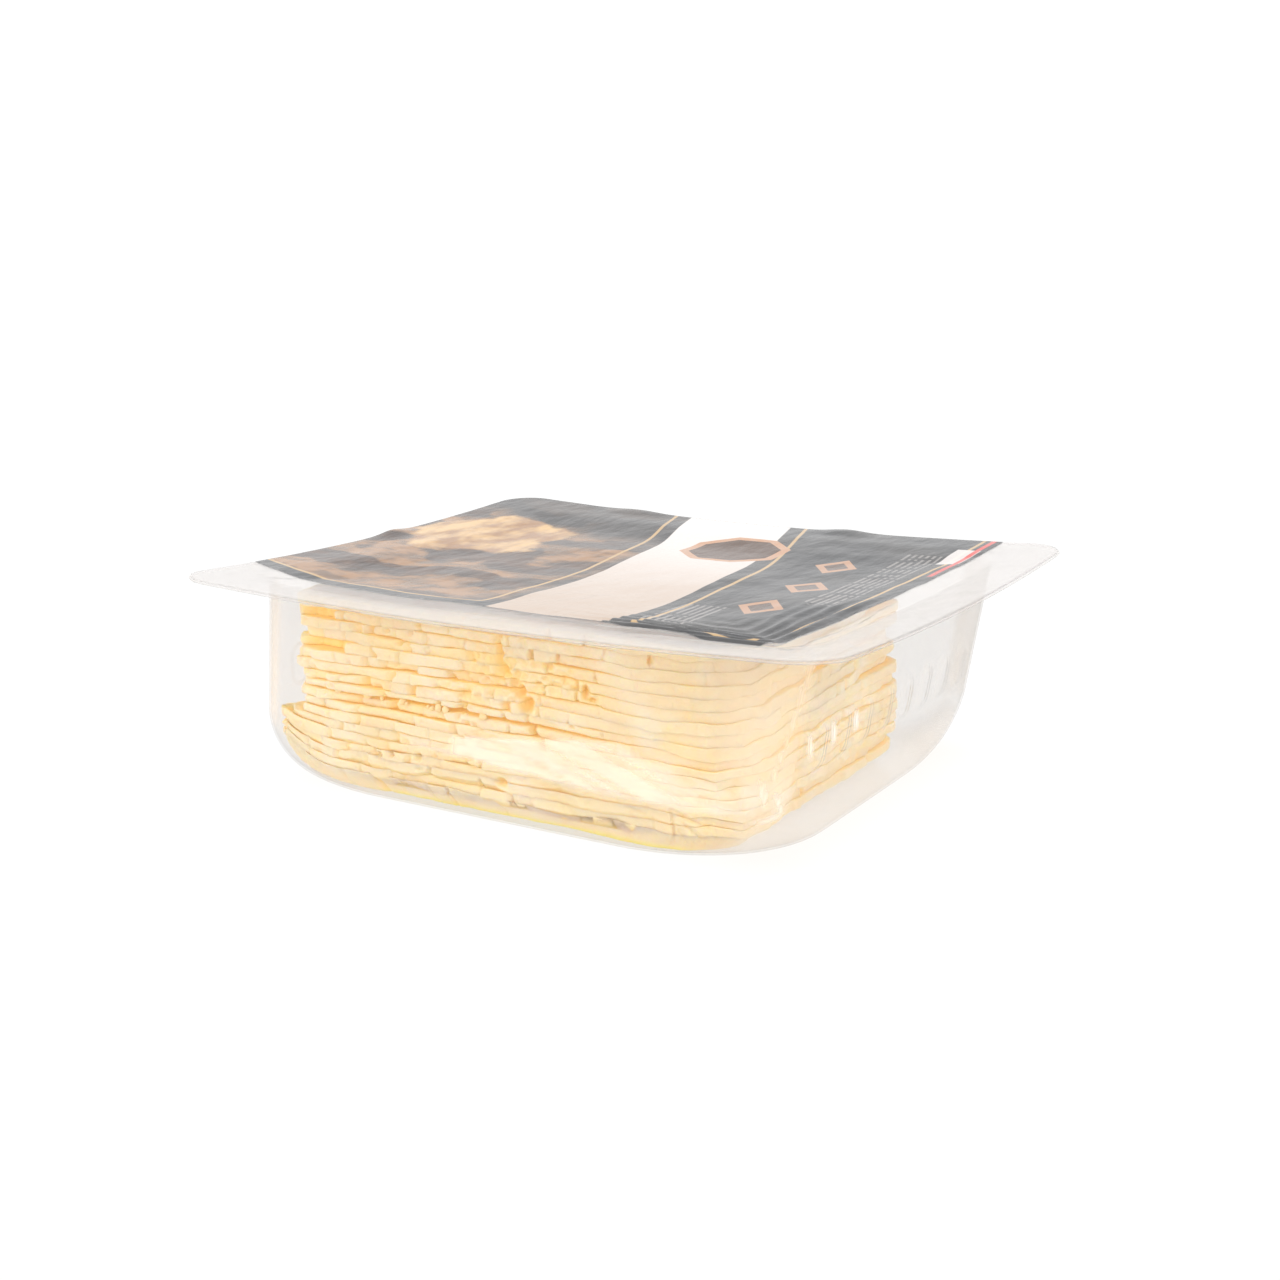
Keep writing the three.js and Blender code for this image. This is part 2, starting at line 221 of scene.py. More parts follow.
@dataclass(frozen=True)
class PackForm:
    """Driving sizes of the pack in millimetres, and the surfaces that follow from them."""

    rim_width: float
    rim_depth: float
    rim_height: float = 45.5
    rim_border: float = 11.5
    rim_corner: float = 10.0
    rim_curl: float = 2.2
    wall_corner_top: float = 13.0
    wall_corner_kink: float = 10.0
    kink_height: float = 17.0
    kink_inset: float = 1.9
    base_inset: float = 4.0
    base_corner: float = 36.0
    base_corner_growth: float = 1.8
    base_shift: tuple[float, float] = (-4.0, -3.0)
    sheet: float = 0.6
    bowl_clearance: float = 0.12
    slice_count: int = 18
    slice_pitch: float = 2.36
    stack_base: float = 1.05
    free_height: float = 24.0
    slice_wave: float = 0.35
    corner_droop: float = 1.6
    parting_slice: int = 10
    parting_height: float = 0.75
    film_gap: float = 0.32
    film_sag: float = 1.25
    film_fold: float = 0.3
    film_slack_run: float = 22.0

    @classmethod
    def from_frame(cls) -> "PackForm":
        """Take the rim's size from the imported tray."""
        low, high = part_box("tray")
        return cls(rim_width=(high.x - low.x) / METRES, rim_depth=(high.y - low.y) / METRES)

    @property
    def stack_height(self) -> float:
        """Height of all the slices together."""
        return self.slice_count * self.slice_pitch

    def curl(self, x: np.ndarray, y: np.ndarray) -> np.ndarray:
        """Tell how far the rim's corners have curled up at places of the plan."""
        return self.rim_curl * (2 * x / self.rim_width) ** 2 * (2 * y / self.rim_depth) ** 2

    def wall(self, height: np.ndarray | float, further: float) -> tuple[np.ndarray, ...]:
        """Give the plan of the tray's wall.

        Args:
            height: Heights above the floor.
            further: Distance by which the plan is moved in.

        Returns:
            Width, depth, corner radius, and the middle's x and y.
        """
        height = np.asarray(height, float)
        above = np.maximum(0, height - self.kink_height) / (self.rim_height - self.kink_height)
        below = np.clip((self.kink_height - height) / self.kink_height, 0, 1)
        upper_inset = self.kink_inset * (1 - above)
        lower_inset = self.kink_inset + self.base_inset * (1 - np.sqrt(np.maximum(0, 1 - below**2)))
        inset = np.where(height > self.kink_height, upper_inset, lower_inset) + further
        arc = 2 / math.pi * np.arcsin(below)
        upper_corner = lerp(self.wall_corner_kink, self.wall_corner_top, above)
        lower_corner = lerp(self.wall_corner_kink, self.base_corner, arc**self.base_corner_growth)
        radius = np.where(height > self.kink_height, upper_corner, lower_corner) - further
        lean = 1 - height / self.rim_height
        width = self.rim_width - 2 * self.rim_border - 2 * inset
        depth = self.rim_depth - 2 * self.rim_border - 2 * inset
        return width, depth, radius, self.base_shift[0] * lean, self.base_shift[1] * lean

    def outside_wall(self, x: np.ndarray, y: np.ndarray, height: np.ndarray) -> np.ndarray:
        """Tell how far places lie outside the room for the slices at a height, negative inside.

        Args:
            x: Places along X.
            y: Places along Y.
            height: Height of each place above the floor.

        Returns:
            Distances in plan.
        """
        width, depth, radius, middle_x, middle_y = self.wall(height, self.sheet + self.bowl_clearance)
        dx = np.abs(x - middle_x) - (width / 2 - radius)
        dy = np.abs(y - middle_y) - (depth / 2 - radius)
        outer = np.hypot(np.maximum(dx, 0), np.maximum(dy, 0))
        return outer + np.minimum(np.maximum(dx, dy), 0) - radius

    def bowl_lift(self, x: np.ndarray, y: np.ndarray) -> np.ndarray:
        """Find the height at which the rounded lower tray first holds places of the plan.

        Args:
            x: Places along X.
            y: Places along Y.

        Returns:
            Heights above the floor.
        """
        low, high = np.zeros_like(x), np.ones_like(x)
        for _ in range(14):
            middle = (low + high) / 2
            held = self.outside_wall(x, y, middle * self.kink_height) <= 0
            high = np.where(held, middle, high)
            low = np.where(held, low, middle)
        return self.kink_height * low

    def joint(self, number: int, x: np.ndarray, y: np.ndarray, lift: np.ndarray) -> np.ndarray:
        """Give the height of a joint between two slices.

        Args:
            number: Joint's number, 0 under the stack.
            x: Places along X.
            y: Places along Y.
            lift: Height of the bowl under these places.

        Returns:
            Heights above the floor.
        """
        height = number * self.slice_pitch
        free = 1 - min(1.0, height / self.free_height)
        middle_share = math.sin(math.pi * height / self.stack_height)
        wave = self.slice_wave * np.sin(x / 17 + 0.6) * np.cos(y / 23)
        droop = self.corner_droop * smooth((x - 8) / 50) * smooth((5 - y) / 60)
        return self.stack_base + height + lift * free + (wave - droop) * middle_share

    def parting(self, number: int, x: np.ndarray, y: np.ndarray) -> np.ndarray:
        """Give the hollow under a slice, where the upper slices have parted from the lower ones.

        Args:
            number: Slice's number, 1 at the bottom.
            x: Places along X.
            y: Places along Y.

        Returns:
            Heights to add under the slice.
        """
        if number != self.parting_slice:
            return np.zeros_like(x)
        return self.parting_height * smooth((-y - 22) / 34) * hump(x, -14, 34)

    def inside_rim(self, x: np.ndarray, y: np.ndarray) -> np.ndarray:
        """Tell how far places of the plan lie inside the rim, negative on it.

        Args:
            x: Places along X.
            y: Places along Y.

        Returns:
            Distances in plan.
        """
        inner_x = self.rim_width / 2 - self.rim_border
        inner_y = self.rim_depth / 2 - self.rim_border
        return np.minimum(inner_x - np.abs(x), inner_y - np.abs(y))

    def film(self, x: np.ndarray, y: np.ndarray) -> np.ndarray:
        """Give the height of the film's underside: flat on the rim, slack and wavy inside it.

        Args:
            x: Places along X.
            y: Places along Y.

        Returns:
            Heights above the floor.
        """
        slack = smooth(self.inside_rim(x, y) / self.film_slack_run)
        folds = self.film_fold * np.sin(x / 9 + y / 21) * np.cos(y / 12 - x / 30)
        seat = self.rim_height + self.film_gap + self.curl(x, y) * (1 - slack)
        return seat + slack * (folds - self.film_sag)


def grid_faces(rows: int, columns: int, closed: bool = True) -> np.ndarray:
    """List the quads of a grid of points.

    Args:
        rows: Number of rings or rows.
        columns: Points in each row.
        closed: Whether each row closes on itself.

    Returns:
        Rows of four point numbers.
    """
    across = columns if closed else columns - 1
    low = np.arange(rows - 1)[:, None] * columns
    i = np.arange(across)[None, :]
    j = (i + 1) % columns
    quads = np.stack([low + i, low + j, low + columns + j, low + columns + i], axis=-1)
    return quads.reshape(-1, 4)


def make_piece(
    name: str,
    points: np.ndarray,
    quads: np.ndarray,
    triangles: np.ndarray | None = None,
    marks: dict[str, np.ndarray] | None = None,
) -> bpy.types.Object:
    """Make a smooth shaded mesh object.

    Args:
        name: Name of the piece.
        points: Rows of x, y and z in millimetres.
        quads: Rows of four point numbers.
        triangles: Rows of three point numbers.
        marks: Values for each point, by the name of the attribute that carries them.

    Returns:
        The object, in the scene.
    """
    faces = quads.tolist()
    if triangles is not None:
        faces += triangles.tolist()
    mesh = bpy.data.meshes.new(name)
    mesh.from_pydata((points * METRES).tolist(), [], faces)
    for mark, values in (marks or {}).items():
        layer = mesh.attributes.new(mark, "FLOAT", "POINT")
        layer.data.foreach_set("value", np.ascontiguousarray(values, np.float32).ravel())
    mesh.polygons.foreach_set("use_smooth", np.ones(len(mesh.polygons), bool))
    mesh.update()
    piece = bpy.data.objects.new(name, mesh)
    bpy.context.scene.collection.objects.link(piece)
    return piece


def close_skin(name: str, skin: np.ndarray, marks: dict[str, np.ndarray]) -> bpy.types.Object:
    """Join the rings of a closed skin and fan its two ends.

    Args:
        name: Name of the piece.
        skin: Rings of points, from the middle of one face to the middle of the other.
        marks: Values for each point.

    Returns:
        The piece.
    """
    rows, columns = skin.shape[:2]
    count = rows * columns
    points = np.vstack([skin.reshape(-1, 3), skin[0].mean(axis=0), skin[-1].mean(axis=0)])
    i = np.arange(columns)
    j = (i + 1) % columns
    last = (rows - 1) * columns
    first_fan = np.column_stack([np.full(columns, count), j, i])
    last_fan = np.column_stack([np.full(columns, count + 1), last + i, last + j])
    kept = {}
    for mark, values in marks.items():
        kept[mark] = np.append(values.ravel(), [values[0, 0], values[-1, 0]])
    return make_piece(name, points, grid_faces(rows, columns), np.vstack([first_fan, last_fan]), kept)


def dress(piece: bpy.types.Object, slot: Slot, finish: bpy.types.Material, *nodes: str) -> None:
    """Give a piece its finish and tie it to the part.

    Args:
        piece: The piece.
        slot: Material slot of the record.
        finish: Material that it wears.
        nodes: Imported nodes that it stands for.
    """
    piece.data.materials.append(finish)
    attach(piece, BODY)
    if nodes:
        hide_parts(*nodes)
    LOG.info("%s: %d faces, slot %s", piece.name, len(piece.data.polygons), slot.value)


Socket = bpy.types.NodeSocket | float
Colour = tuple[float, float, float]

CLEAN_EDGE = 0.0003
GRAZING_POWER = 5.0
GRAZING_GAIN = 0.5


class NodeSheet:
    """A material's node tree, with short calls for the nodes that the finishes use."""

    def __init__(self, name: str) -> None:
        """Start an empty material.

        Args:
            name: Name of the material.
        """
        self.material = bpy.data.materials.new(name)
        self.material.use_nodes = True
        self.tree = self.material.node_tree
        self.tree.nodes.clear()

    def add(
        self, kind: str, inputs: dict[str | int, object] | None = None, **settings: object
    ) -> bpy.types.Node:
        """Add a node.

        Args:
            kind: Type of the node.
            inputs: Sockets or constants to feed it, by the input's name or number.
            settings: Properties of the node.

        Returns:
            The node.
        """
        node = self.tree.nodes.new(kind)
        for name, value in settings.items():
            setattr(node, name, value)
        for name, value in (inputs or {}).items():
            self.feed(node.inputs[name], value)
        return node

    def feed(self, socket: bpy.types.NodeSocket, value: object) -> None:
        """Link a value that is a socket, or set one that is a constant; colours are three numbers.

        Args:
            socket: Input that takes the value.
            value: A socket, a number, a direction or a colour.
        """
        if isinstance(value, bpy.types.NodeSocket):
            self.tree.links.new(value, socket)
        elif socket.type == "RGBA":
            socket.default_value = (*value, 1.0)
        else:
            socket.default_value = value

    def place(self) -> bpy.types.NodeSocket:
        """Give the place on the object, in metres of the pack's frame."""
        return self.add("ShaderNodeTexCoord").outputs["Object"]

    def axes(self) -> tuple[bpy.types.NodeSocket, bpy.types.NodeSocket]:
        """Give the X and the Y of the place on the object."""
        split = self.add("ShaderNodeSeparateXYZ", {0: self.place()})
        return split.outputs["X"], split.outputs["Y"]

    def mark(self, name: str) -> bpy.types.NodeSocket:
        """Give the value of a named mark of the mesh."""
        return self.add("ShaderNodeAttribute", attribute_name=name).outputs["Fac"]

    def calc(
        self, operation: str, first: Socket, second: Socket = 0.0, third: Socket = 0.0
    ) -> bpy.types.NodeSocket:
        """Work out a value from up to three others."""
        return self.add("ShaderNodeMath", {0: first, 1: second, 2: third}, operation=operation).outputs[0]

    def away(self, value: Socket, centre: float) -> bpy.types.NodeSocket:
        """Give how far a value lies from a centre, on either side."""
        return self.calc("ABSOLUTE", self.calc("SUBTRACT", value, centre))

    def within(self, value: Socket, centre: float, half: float) -> bpy.types.NodeSocket:
        """Give how far a value lies within half a span of its centre, negative beyond it."""
        return self.calc("SUBTRACT", half, self.away(value, centre))

    def ramp(
        self, value: Socket, start: float, end: float, low: float = 0.0, high: float = 1.0
    ) -> bpy.types.NodeSocket:
        """Ease a value from low at start to high at end."""
        inputs = {"Value": value, "From Min": start, "From Max": end, "To Min": low, "To Max": high}
        return self.add("ShaderNodeMapRange", inputs, interpolation_type="SMOOTHSTEP").outputs["Result"]

    def ramp_linear(self, value: Socket, start: float, end: float) -> bpy.types.NodeSocket:
        """Map a value straight from 0 at start to 1 at end."""
        inputs = {"Value": value, "From Min": start, "From Max": end}
        return self.add("ShaderNodeMapRange", inputs).outputs["Result"]

    def noise(
        self, scale: float, detail: float = 3.0, stretch: tuple[float, float, float] = (1, 1, 1)
    ) -> bpy.types.NodeSocket:
        """Give noise over the object, with its scale in cells for each metre.

        Args:
            scale: Cells for each metre.
            detail: How many finer layers are added.
            stretch: Factors on the scale along X, Y and Z.

        Returns:
            Values from 0 to 1.
        """
        mapping = self.add("ShaderNodeMapping", {"Vector": self.place(), "Scale": stretch})
        inputs = {"Vector": mapping.outputs[0], "Scale": scale, "Detail": detail}
        return self.add("ShaderNodeTexNoise", inputs).outputs["Fac"]

    def blend(self, share: Socket, first: Socket | Colour, second: Socket | Colour) -> bpy.types.NodeSocket:
        """Blend two colours, the second by its share."""
        return self.add("ShaderNodeMix", {0: share, 6: first, 7: second}, data_type="RGBA").outputs[2]

    def blend_shaders(self, share: Socket, first: Socket, second: Socket) -> bpy.types.NodeSocket:
        """Blend two shaders, the second by its share."""
        return self.add("ShaderNodeMixShader", {0: share, 1: first, 2: second}).outputs[0]

    def bump(self, height: Socket, distance: float, strength: float) -> bpy.types.NodeSocket:
        """Turn a height into a normal, with its distance in metres."""
        inputs = {"Strength": strength, "Distance": distance, "Height": height}
        return self.add("ShaderNodeBump", inputs).outputs[0]

    def gloss_share(self, facing_share: float, normal: Socket) -> bpy.types.NodeSocket:
        """Give the share of light that one skin of a clear sheet mirrors, from face on to edge on.

        Args:
            facing_share: Share that it mirrors face on.
            normal: Normal of the rippled sheet.

        Returns:
            Share of light.
        """
        weight = self.add("ShaderNodeLayerWeight", {"Normal": normal})
        steep = self.calc("POWER", weight.outputs["Facing"], GRAZING_POWER)
        return self.calc("MULTIPLY_ADD", steep, GRAZING_GAIN, facing_share)

    def finish(self, surface: Socket) -> bpy.types.Material:
        """Set the surface and give the material."""
        self.add("ShaderNodeOutputMaterial", {"Surface": surface})
        return self.material


@dataclass(frozen=True)
class ClearSheet:
    """Finish of the thin clear formed sheet: glossy, a little grey, hazy where it is stretched, its haze
    also carrying painted highlights, a painted sheen and painted cheese-coloured light.
    """

    tint: Colour = (0.956, 0.951, 0.946)
    veil_colour: Colour = (0.96, 0.92, 0.87)
    edge_colour: Colour = (0.70, 0.67, 0.66)
    # Colour of the painted light from the cheese close behind the sheet.
    cheese_light_colour: Colour = (0.97, 0.82, 0.64)
    base_veil: float = 0.022
    back_lit_share: float = 0.2
    edge_cover: float = 0.34
    mirror_share: float = 0.028
    gloss: float = 0.07

    def build(self) -> bpy.types.Material:
        """Make the material.

        Returns:
            A material that reads the marks of haze with painted highlights and sheen, of painted
            cheese-coloured light, and cut_edge.
        """
        sheet = NodeSheet("clear_formed_sheet")
        ripple = sheet.bump(sheet.noise(95.0, 2.0, (1, 1, 0.5)), 0.0012, 0.35)
        clear = sheet.add("ShaderNodeBsdfTransparent", {"Color": self.tint})
        # Painted light: the haze takes the cheese's colour where the cheese lies close behind it.
        veil_with_cheese_light = sheet.blend(sheet.mark("painted_cheese_light"), self.veil_colour, self.cheese_light_colour)
        lit_colour = sheet.blend(sheet.mark("cut_edge"), veil_with_cheese_light, self.edge_colour)
        lit = sheet.add("ShaderNodeBsdfDiffuse", {"Color": lit_colour})
        back_lit = sheet.add("ShaderNodeBsdfTranslucent", {"Color": veil_with_cheese_light})
        veil = sheet.blend_shaders(self.back_lit_share, lit.outputs[0], back_lit.outputs[0])
        cloud = sheet.ramp(sheet.noise(60.0, 4.0), 0.35, 0.75, 0.6, 1.5)
        # The haze mark also carries painted highlights and a painted sheen.
        haze_and_sheen = sheet.calc("ADD", sheet.calc("MULTIPLY", cloud, self.base_veil), sheet.mark("haze_and_sheen"))
        cut = sheet.calc("MULTIPLY", sheet.mark("cut_edge"), self.edge_cover)
        body = sheet.blend_shaders(sheet.calc("MAXIMUM", haze_and_sheen, cut), clear.outputs[0], veil)
        gloss = sheet.add("ShaderNodeBsdfGlossy", {"Roughness": self.gloss, "Normal": ripple})
        mirrored = sheet.gloss_share(self.mirror_share, ripple)
        return sheet.finish(sheet.blend_shaders(mirrored, body, gloss.outputs[0]))


@dataclass(frozen=True)
class CheeseFlesh:
    """Finish of semi-hard cheese: pale cream yellow, with painted amber shade and glow in its cracks and a
    painted yellow glow at its lowest front edge.
    """

    pale: Colour = (0.96, 0.71, 0.42)
    cream: Colour = (0.98, 0.78, 0.545)
    # Painted light: amber shade and an amber glow in the cracks and joints, and a yellow glow along the
    # bottom slice's lower edge.
    painted_shade_amber: Colour = (0.95, 0.65, 0.19)
    painted_underglow: Colour = (1.0, 0.80, 0.14)
    painted_glow_colour: Colour = (1.0, 0.68, 0.10)
    painted_glow_strength: float = 0.21
    roughness: float = 0.5
    shine: float = 0.35
    glow: float = 0.55
    glow_reach: tuple[float, float, float] = (3.6, 2.2, 0.9)

    def build(self) -> bpy.types.Material:
        """Make the material.

        Returns:
            A material that reads the marks of painted crack shade and glow, and of painted underglow.
        """
        sheet = NodeSheet("cheese_flesh")
        painted_shade_and_glow = sheet.mark("painted_shade_and_glow")
        cloud = sheet.ramp(sheet.noise(85.0, 4.0), 0.35, 0.7)
        flesh = sheet.blend(cloud, self.pale, self.cream)
        curd = sheet.ramp(sheet.noise(900.0, 3.0), 0.5, 0.72, 0.0, 0.25)
        grained = sheet.blend(curd, flesh, self.cream)
        # Painted shade: the deeper a point lies in a crack or joint, the more it is tinted amber.
        sunk = sheet.calc("POWER", painted_shade_and_glow, 0.85)
        colour = sheet.blend(sunk, grained, self.painted_shade_amber)
        # Painted light: a yellow glow along the bottom slice's lower front edge.
        colour = sheet.blend(sheet.mark("painted_underglow"), colour, self.painted_underglow)
        rough = sheet.ramp(sheet.noise(300.0), 0.3, 0.7, self.roughness - 0.08, self.roughness + 0.1)
        coarse = sheet.calc("MULTIPLY", sheet.noise(420.0, 3.0), 1.5)
        fine = sheet.calc("ADD", sheet.noise(1100.0, 4.0), coarse)
        # Its emission is a painted amber glow in the cracks and joints, since the cheese is no lamp.
        body = sheet.add(
            "ShaderNodeBsdfPrincipled",
            {
                "Base Color": colour,
                "Roughness": rough,
                "Subsurface Weight": self.glow,
                "Subsurface Radius": self.glow_reach,
                "Subsurface Scale": METRES,
                "Specular IOR Level": self.shine,
                "Emission Color": self.painted_glow_colour,
                "Emission Strength": sheet.calc("MULTIPLY", painted_shade_and_glow, self.painted_glow_strength),
                "Normal": sheet.bump(fine, 0.00022, 0.8),
            },
        )
        return sheet.finish(body.outputs[0])


@dataclass(frozen=True)
class Panel:
    """A box of the print: its middle and its half sizes in metres."""

    x: float
    y: float
    half_x: float
    half_y: float

    def cover(self, sheet: NodeSheet, x: Socket, y: Socket) -> bpy.types.NodeSocket:
        """Give 1 inside the box and 0 outside it, with a clean edge.

        Args:
            sheet: Node tree of the material.
            x: Place along X.
            y: Place along Y.

        Returns:
            Cover of the box.
        """
        in_x = sheet.within(x, self.x, self.half_x)
        in_y = sheet.within(y, self.y, self.half_y)
        return sheet.ramp(sheet.calc("MINIMUM", in_x, in_y), 0.0, CLEAN_EDGE)


@dataclass(frozen=True)
class PrintedFilm:
    """Finish of the film: clear at the rim, printed in plain fields of colour inside it."""

    charcoal: Colour = (0.035, 0.036, 0.040)
    soot: Colour = (0.06, 0.058, 0.058)
    cream: Colour = (0.72, 0.67, 0.645)
    rose: Colour = (0.50, 0.39, 0.31)
    red: Colour = (0.62, 0.08, 0.07)
    gold: Colour = (0.50, 0.33, 0.16)
    brown: Colour = (0.085, 0.042, 0.024)
    tan: Colour = (0.34, 0.185, 0.090)
    honey: Colour = (0.66, 0.43, 0.20)
    copper: Colour = (0.50, 0.28, 0.17)
    stripe: Colour = (0.50, 0.46, 0.44)
    film_tint: Colour = (0.975, 0.97, 0.967)
    veil_colour: Colour = (0.81, 0.775, 0.755)
    veil_cover: float = 0.21
    mirror_share: float = 0.045
    film_gloss: float = 0.1
    ink_gloss: float = 0.24
    ink_shine: float = 0.25
    print_right: float = 0.0625
    print_front: float = -0.0502
    print_corner: float = 0.008
    swing_half_width: float = 0.08
    swing_depth: float = 0.04
    swing_rest: float = 0.0172
    swing: tuple[tuple[float, float], ...] = (
        (0.0, 0.68), (0.12, 0.52), (0.22, 0.43), (0.62, 0.44), (0.76, 0.36), (0.85, 0.30), (1.0, 0.42)
    )
    frame_inset: float = 0.0045
    line_width: float = 0.0006
    band_half: float = 0.0148
    golden_middle: tuple[float, float] = (-0.058, 0.022)
    golden_radii: tuple[float, float] = (0.020, 0.023)
    stripe_pitch: float = 0.0008
    stripe_blocks: tuple[Panel, ...] = (
        Panel(0.0510, 0.018, 0.0046, 0.030),
        Panel(0.030, -0.031, 0.0056, 0.010),
    )
    pale_panel: Panel = Panel(0.0592, 0.048, 0.0030, 0.0075)
    red_place: float = 0.0612
    red_half: float = 0.0008
    lozenges: tuple[tuple[float, float], ...] = ((0.036, 0.030), (0.040, 0.006), (0.041, -0.018))
    lozenge_reach: float = 0.0052
    lozenge_core: float = 0.0030
    lozenge_slope: float = 0.72
    badge: tuple[float, float] = (0.006, 0.036)
    badge_reach: float = 0.0126
    badge_core: float = 0.0104

    def build(self) -> bpy.types.Material:
        """Make the material.

        Returns:
            A material with its layout in metres of the pack's frame.
        """
        sheet = NodeSheet("printed_film")
        x, y = sheet.axes()
        drift = sheet.calc("MULTIPLY_ADD", sheet.noise(24.0, 2.0), 0.006, -0.003)
        inside = self._inside_print(sheet, sheet.calc("ADD", x, drift), sheet.calc("ADD", y, drift))
        band = self._band(sheet, x, y)
        ground = sheet.blend(sheet.ramp(sheet.noise(45.0, 3.0), 0.35, 0.7), self.charcoal, self.soot)
        colour = self._harvest_field(sheet, x, y, ground)
        border = sheet.ramp(inside, self.frame_inset, self.frame_inset + CLEAN_EDGE, 1.0, 0.0)
        colour = sheet.blend(border, colour, ground)
        colour = self._frame_lines(sheet, inside, band, colour)
        colour = self._rules(sheet, x, y, colour)
        in_band = sheet.ramp(band, -0.0002, 0.0002, 1.0, 0.0)
        colour = sheet.blend(in_band, colour, self._band_colour(sheet, y))
        colour = self._motifs(sheet, x, y, colour)
        crinkle = sheet.bump(sheet.noise(120.0, 4.0, (1.0, 0.45, 1.0)), 0.0014, 0.55)
        ink = sheet.add(
            "ShaderNodeBsdfPrincipled",
            {
                "Base Color": colour,
                "Roughness": self.ink_gloss,
                "Specular IOR Level": self.ink_shine,
                "Normal": crinkle,
            },
        )
        clear = sheet.add("ShaderNodeBsdfTransparent", {"Color": self.film_tint})
        veil = sheet.add("ShaderNodeBsdfDiffuse", {"Color": self.veil_colour})
        gloss = sheet.add("ShaderNodeBsdfGlossy", {"Roughness": self.film_gloss, "Normal": crinkle})
        bare = sheet.blend_shaders(self.veil_cover, clear.outputs[0], veil.outputs[0])
        bare = sheet.blend_shaders(sheet.gloss_share(self.mirror_share, crinkle), bare, gloss.outputs[0])
        printed = sheet.ramp(inside, -0.0001, 0.0001)
        return sheet.finish(sheet.blend_shaders(printed, bare, ink.outputs[0]))

    def _inside_print(self, sheet: NodeSheet, x: Socket, y: Socket) -> bpy.types.NodeSocket:
        """Give the distance inside the printed area, whose front edge swings along the rim.

        Args:
            sheet: Node tree of the material.
            x: Place along X.
            y: Place along Y.

        Returns:
            Distance in metres, negative outside the print.
        """
        along = sheet.ramp_linear(x, -self.swing_half_width, self.swing_half_width)
        edge = sheet.add("ShaderNodeFloatCurve", {"Value": along})
        curve = edge.mapping.curves[0]
        curve.points[0].location = self.swing[0]
        curve.points[1].location = self.swing[-1]
        for place in self.swing[1:-1]:
            curve.points.new(*place)
        edge.mapping.update()
        rest = self.print_front - self.swing_rest
        front = sheet.calc("MULTIPLY_ADD", edge.outputs[0], self.swing_depth, rest)
        from_front = sheet.calc("SUBTRACT", y, front)
        from_right = sheet.calc("SUBTRACT", self.print_right, x)
        return sheet.calc("SMOOTH_MIN", from_front, from_right, self.print_corner)

    def _band(self, sheet: NodeSheet, x: Socket, y: Socket) -> bpy.types.NodeSocket:
        """Give the distance outside the pale band that crosses the lid, negative inside it.

        Args:
            sheet: Node tree of the material.
            x: Place along X.
            y: Place along Y.

        Returns:
            Distance in metres.
        """
        sway = sheet.calc("MULTIPLY", sheet.calc("SINE", sheet.calc("MULTIPLY_ADD", y, 30.0, 0.9)), 0.0045)
        middle = sheet.calc("MULTIPLY_ADD", y, -0.17, 0.0015)
        across = sheet.calc("SUBTRACT", x, sheet.calc("ADD", middle, sway))
        return sheet.calc("SUBTRACT", sheet.calc("ABSOLUTE", across), self.band_half)

    def _band_colour(self, sheet: NodeSheet, y: Socket) -> bpy.types.NodeSocket:
        """Shade the pale band a little along its length."""
        return sheet.blend(sheet.ramp(y, -0.05, 0.06), self.rose, self.cream)

    def _harvest_field(self, sheet: NodeSheet, x: Socket, y: Socket, ground: Socket) -> bpy.types.NodeSocket:
        """Paint soft brown hills with a golden one behind them, to the left of the band.

        Args:
            sheet: Node tree of the material.
            x: Place along X.
            y: Place along Y.
            ground: Colour behind the hills.

        Returns:
            Colour of the field.
        """
        waves = {"Vector": sheet.place(), "Scale": 13.0, "Distortion": 9.0, "Detail": 3.0}
        waves["Detail Scale"] = 2.5
        roll = sheet.add("ShaderNodeTexWave", waves, wave_type="BANDS", bands_direction="Y")
        mottle = sheet.ramp(sheet.noise(120.0, 4.0, (1.0, 1.6, 1.0)), 0.38, 0.62)
        hills = sheet.blend(sheet.ramp(roll.outputs["Fac"], 0.35, 0.75), self.brown, self.tan)
        hills = sheet.blend(sheet.calc("MULTIPLY", mottle, 0.55), hills, ground)
        squares = []
        for place, middle, radius in zip((x, y), self.golden_middle, self.golden_radii):
            away = sheet.calc("DIVIDE", sheet.calc("SUBTRACT", place, middle), radius)
            squares.append(sheet.calc("POWER", away, 2.0))
        ragged = sheet.calc("MULTIPLY_ADD", sheet.noise(70.0, 4.0), 1.8, -0.9)
        golden = sheet.ramp(sheet.calc("ADD", sheet.calc("ADD", *squares), ragged), 1.1, 0.8)
        dark_back = sheet.ramp(sheet.calc("MULTIPLY_ADD", x, 0.3, y), 0.014, 0.032)
        hills = sheet.blend(sheet.calc("MULTIPLY", dark_back, 0.9), hills, ground)
        tone = sheet.ramp(sheet.noise(95.0, 3.0, (1.6, 0.8, 1.0)), 0.36, 0.64)
        hills = sheet.blend(golden, hills, sheet.blend(tone, self.tan, self.honey))
        return sheet.blend(sheet.ramp(x, -0.006, -0.016), ground, hills)

    def _frame_lines(
        self, sheet: NodeSheet, inside: Socket, band: Socket, colour: Socket
    ) -> bpy.types.NodeSocket:
        """Rule thin gold lines inside the print's edge and beside the band.

        Args:
            sheet: Node tree of the material.
            inside: Distance inside the print.
            band: Distance outside the band.
            colour: Colour under the lines.

        Returns:
            Colour with the lines.
        """
        near = sheet.away(sheet.calc("SMOOTH_MIN", inside, band, 0.003), self.frame_inset)
        line = sheet.ramp(near, self.line_width * 0.5, self.line_width, 1.0, 0.0)
        return sheet.blend(line, colour, self.gold)

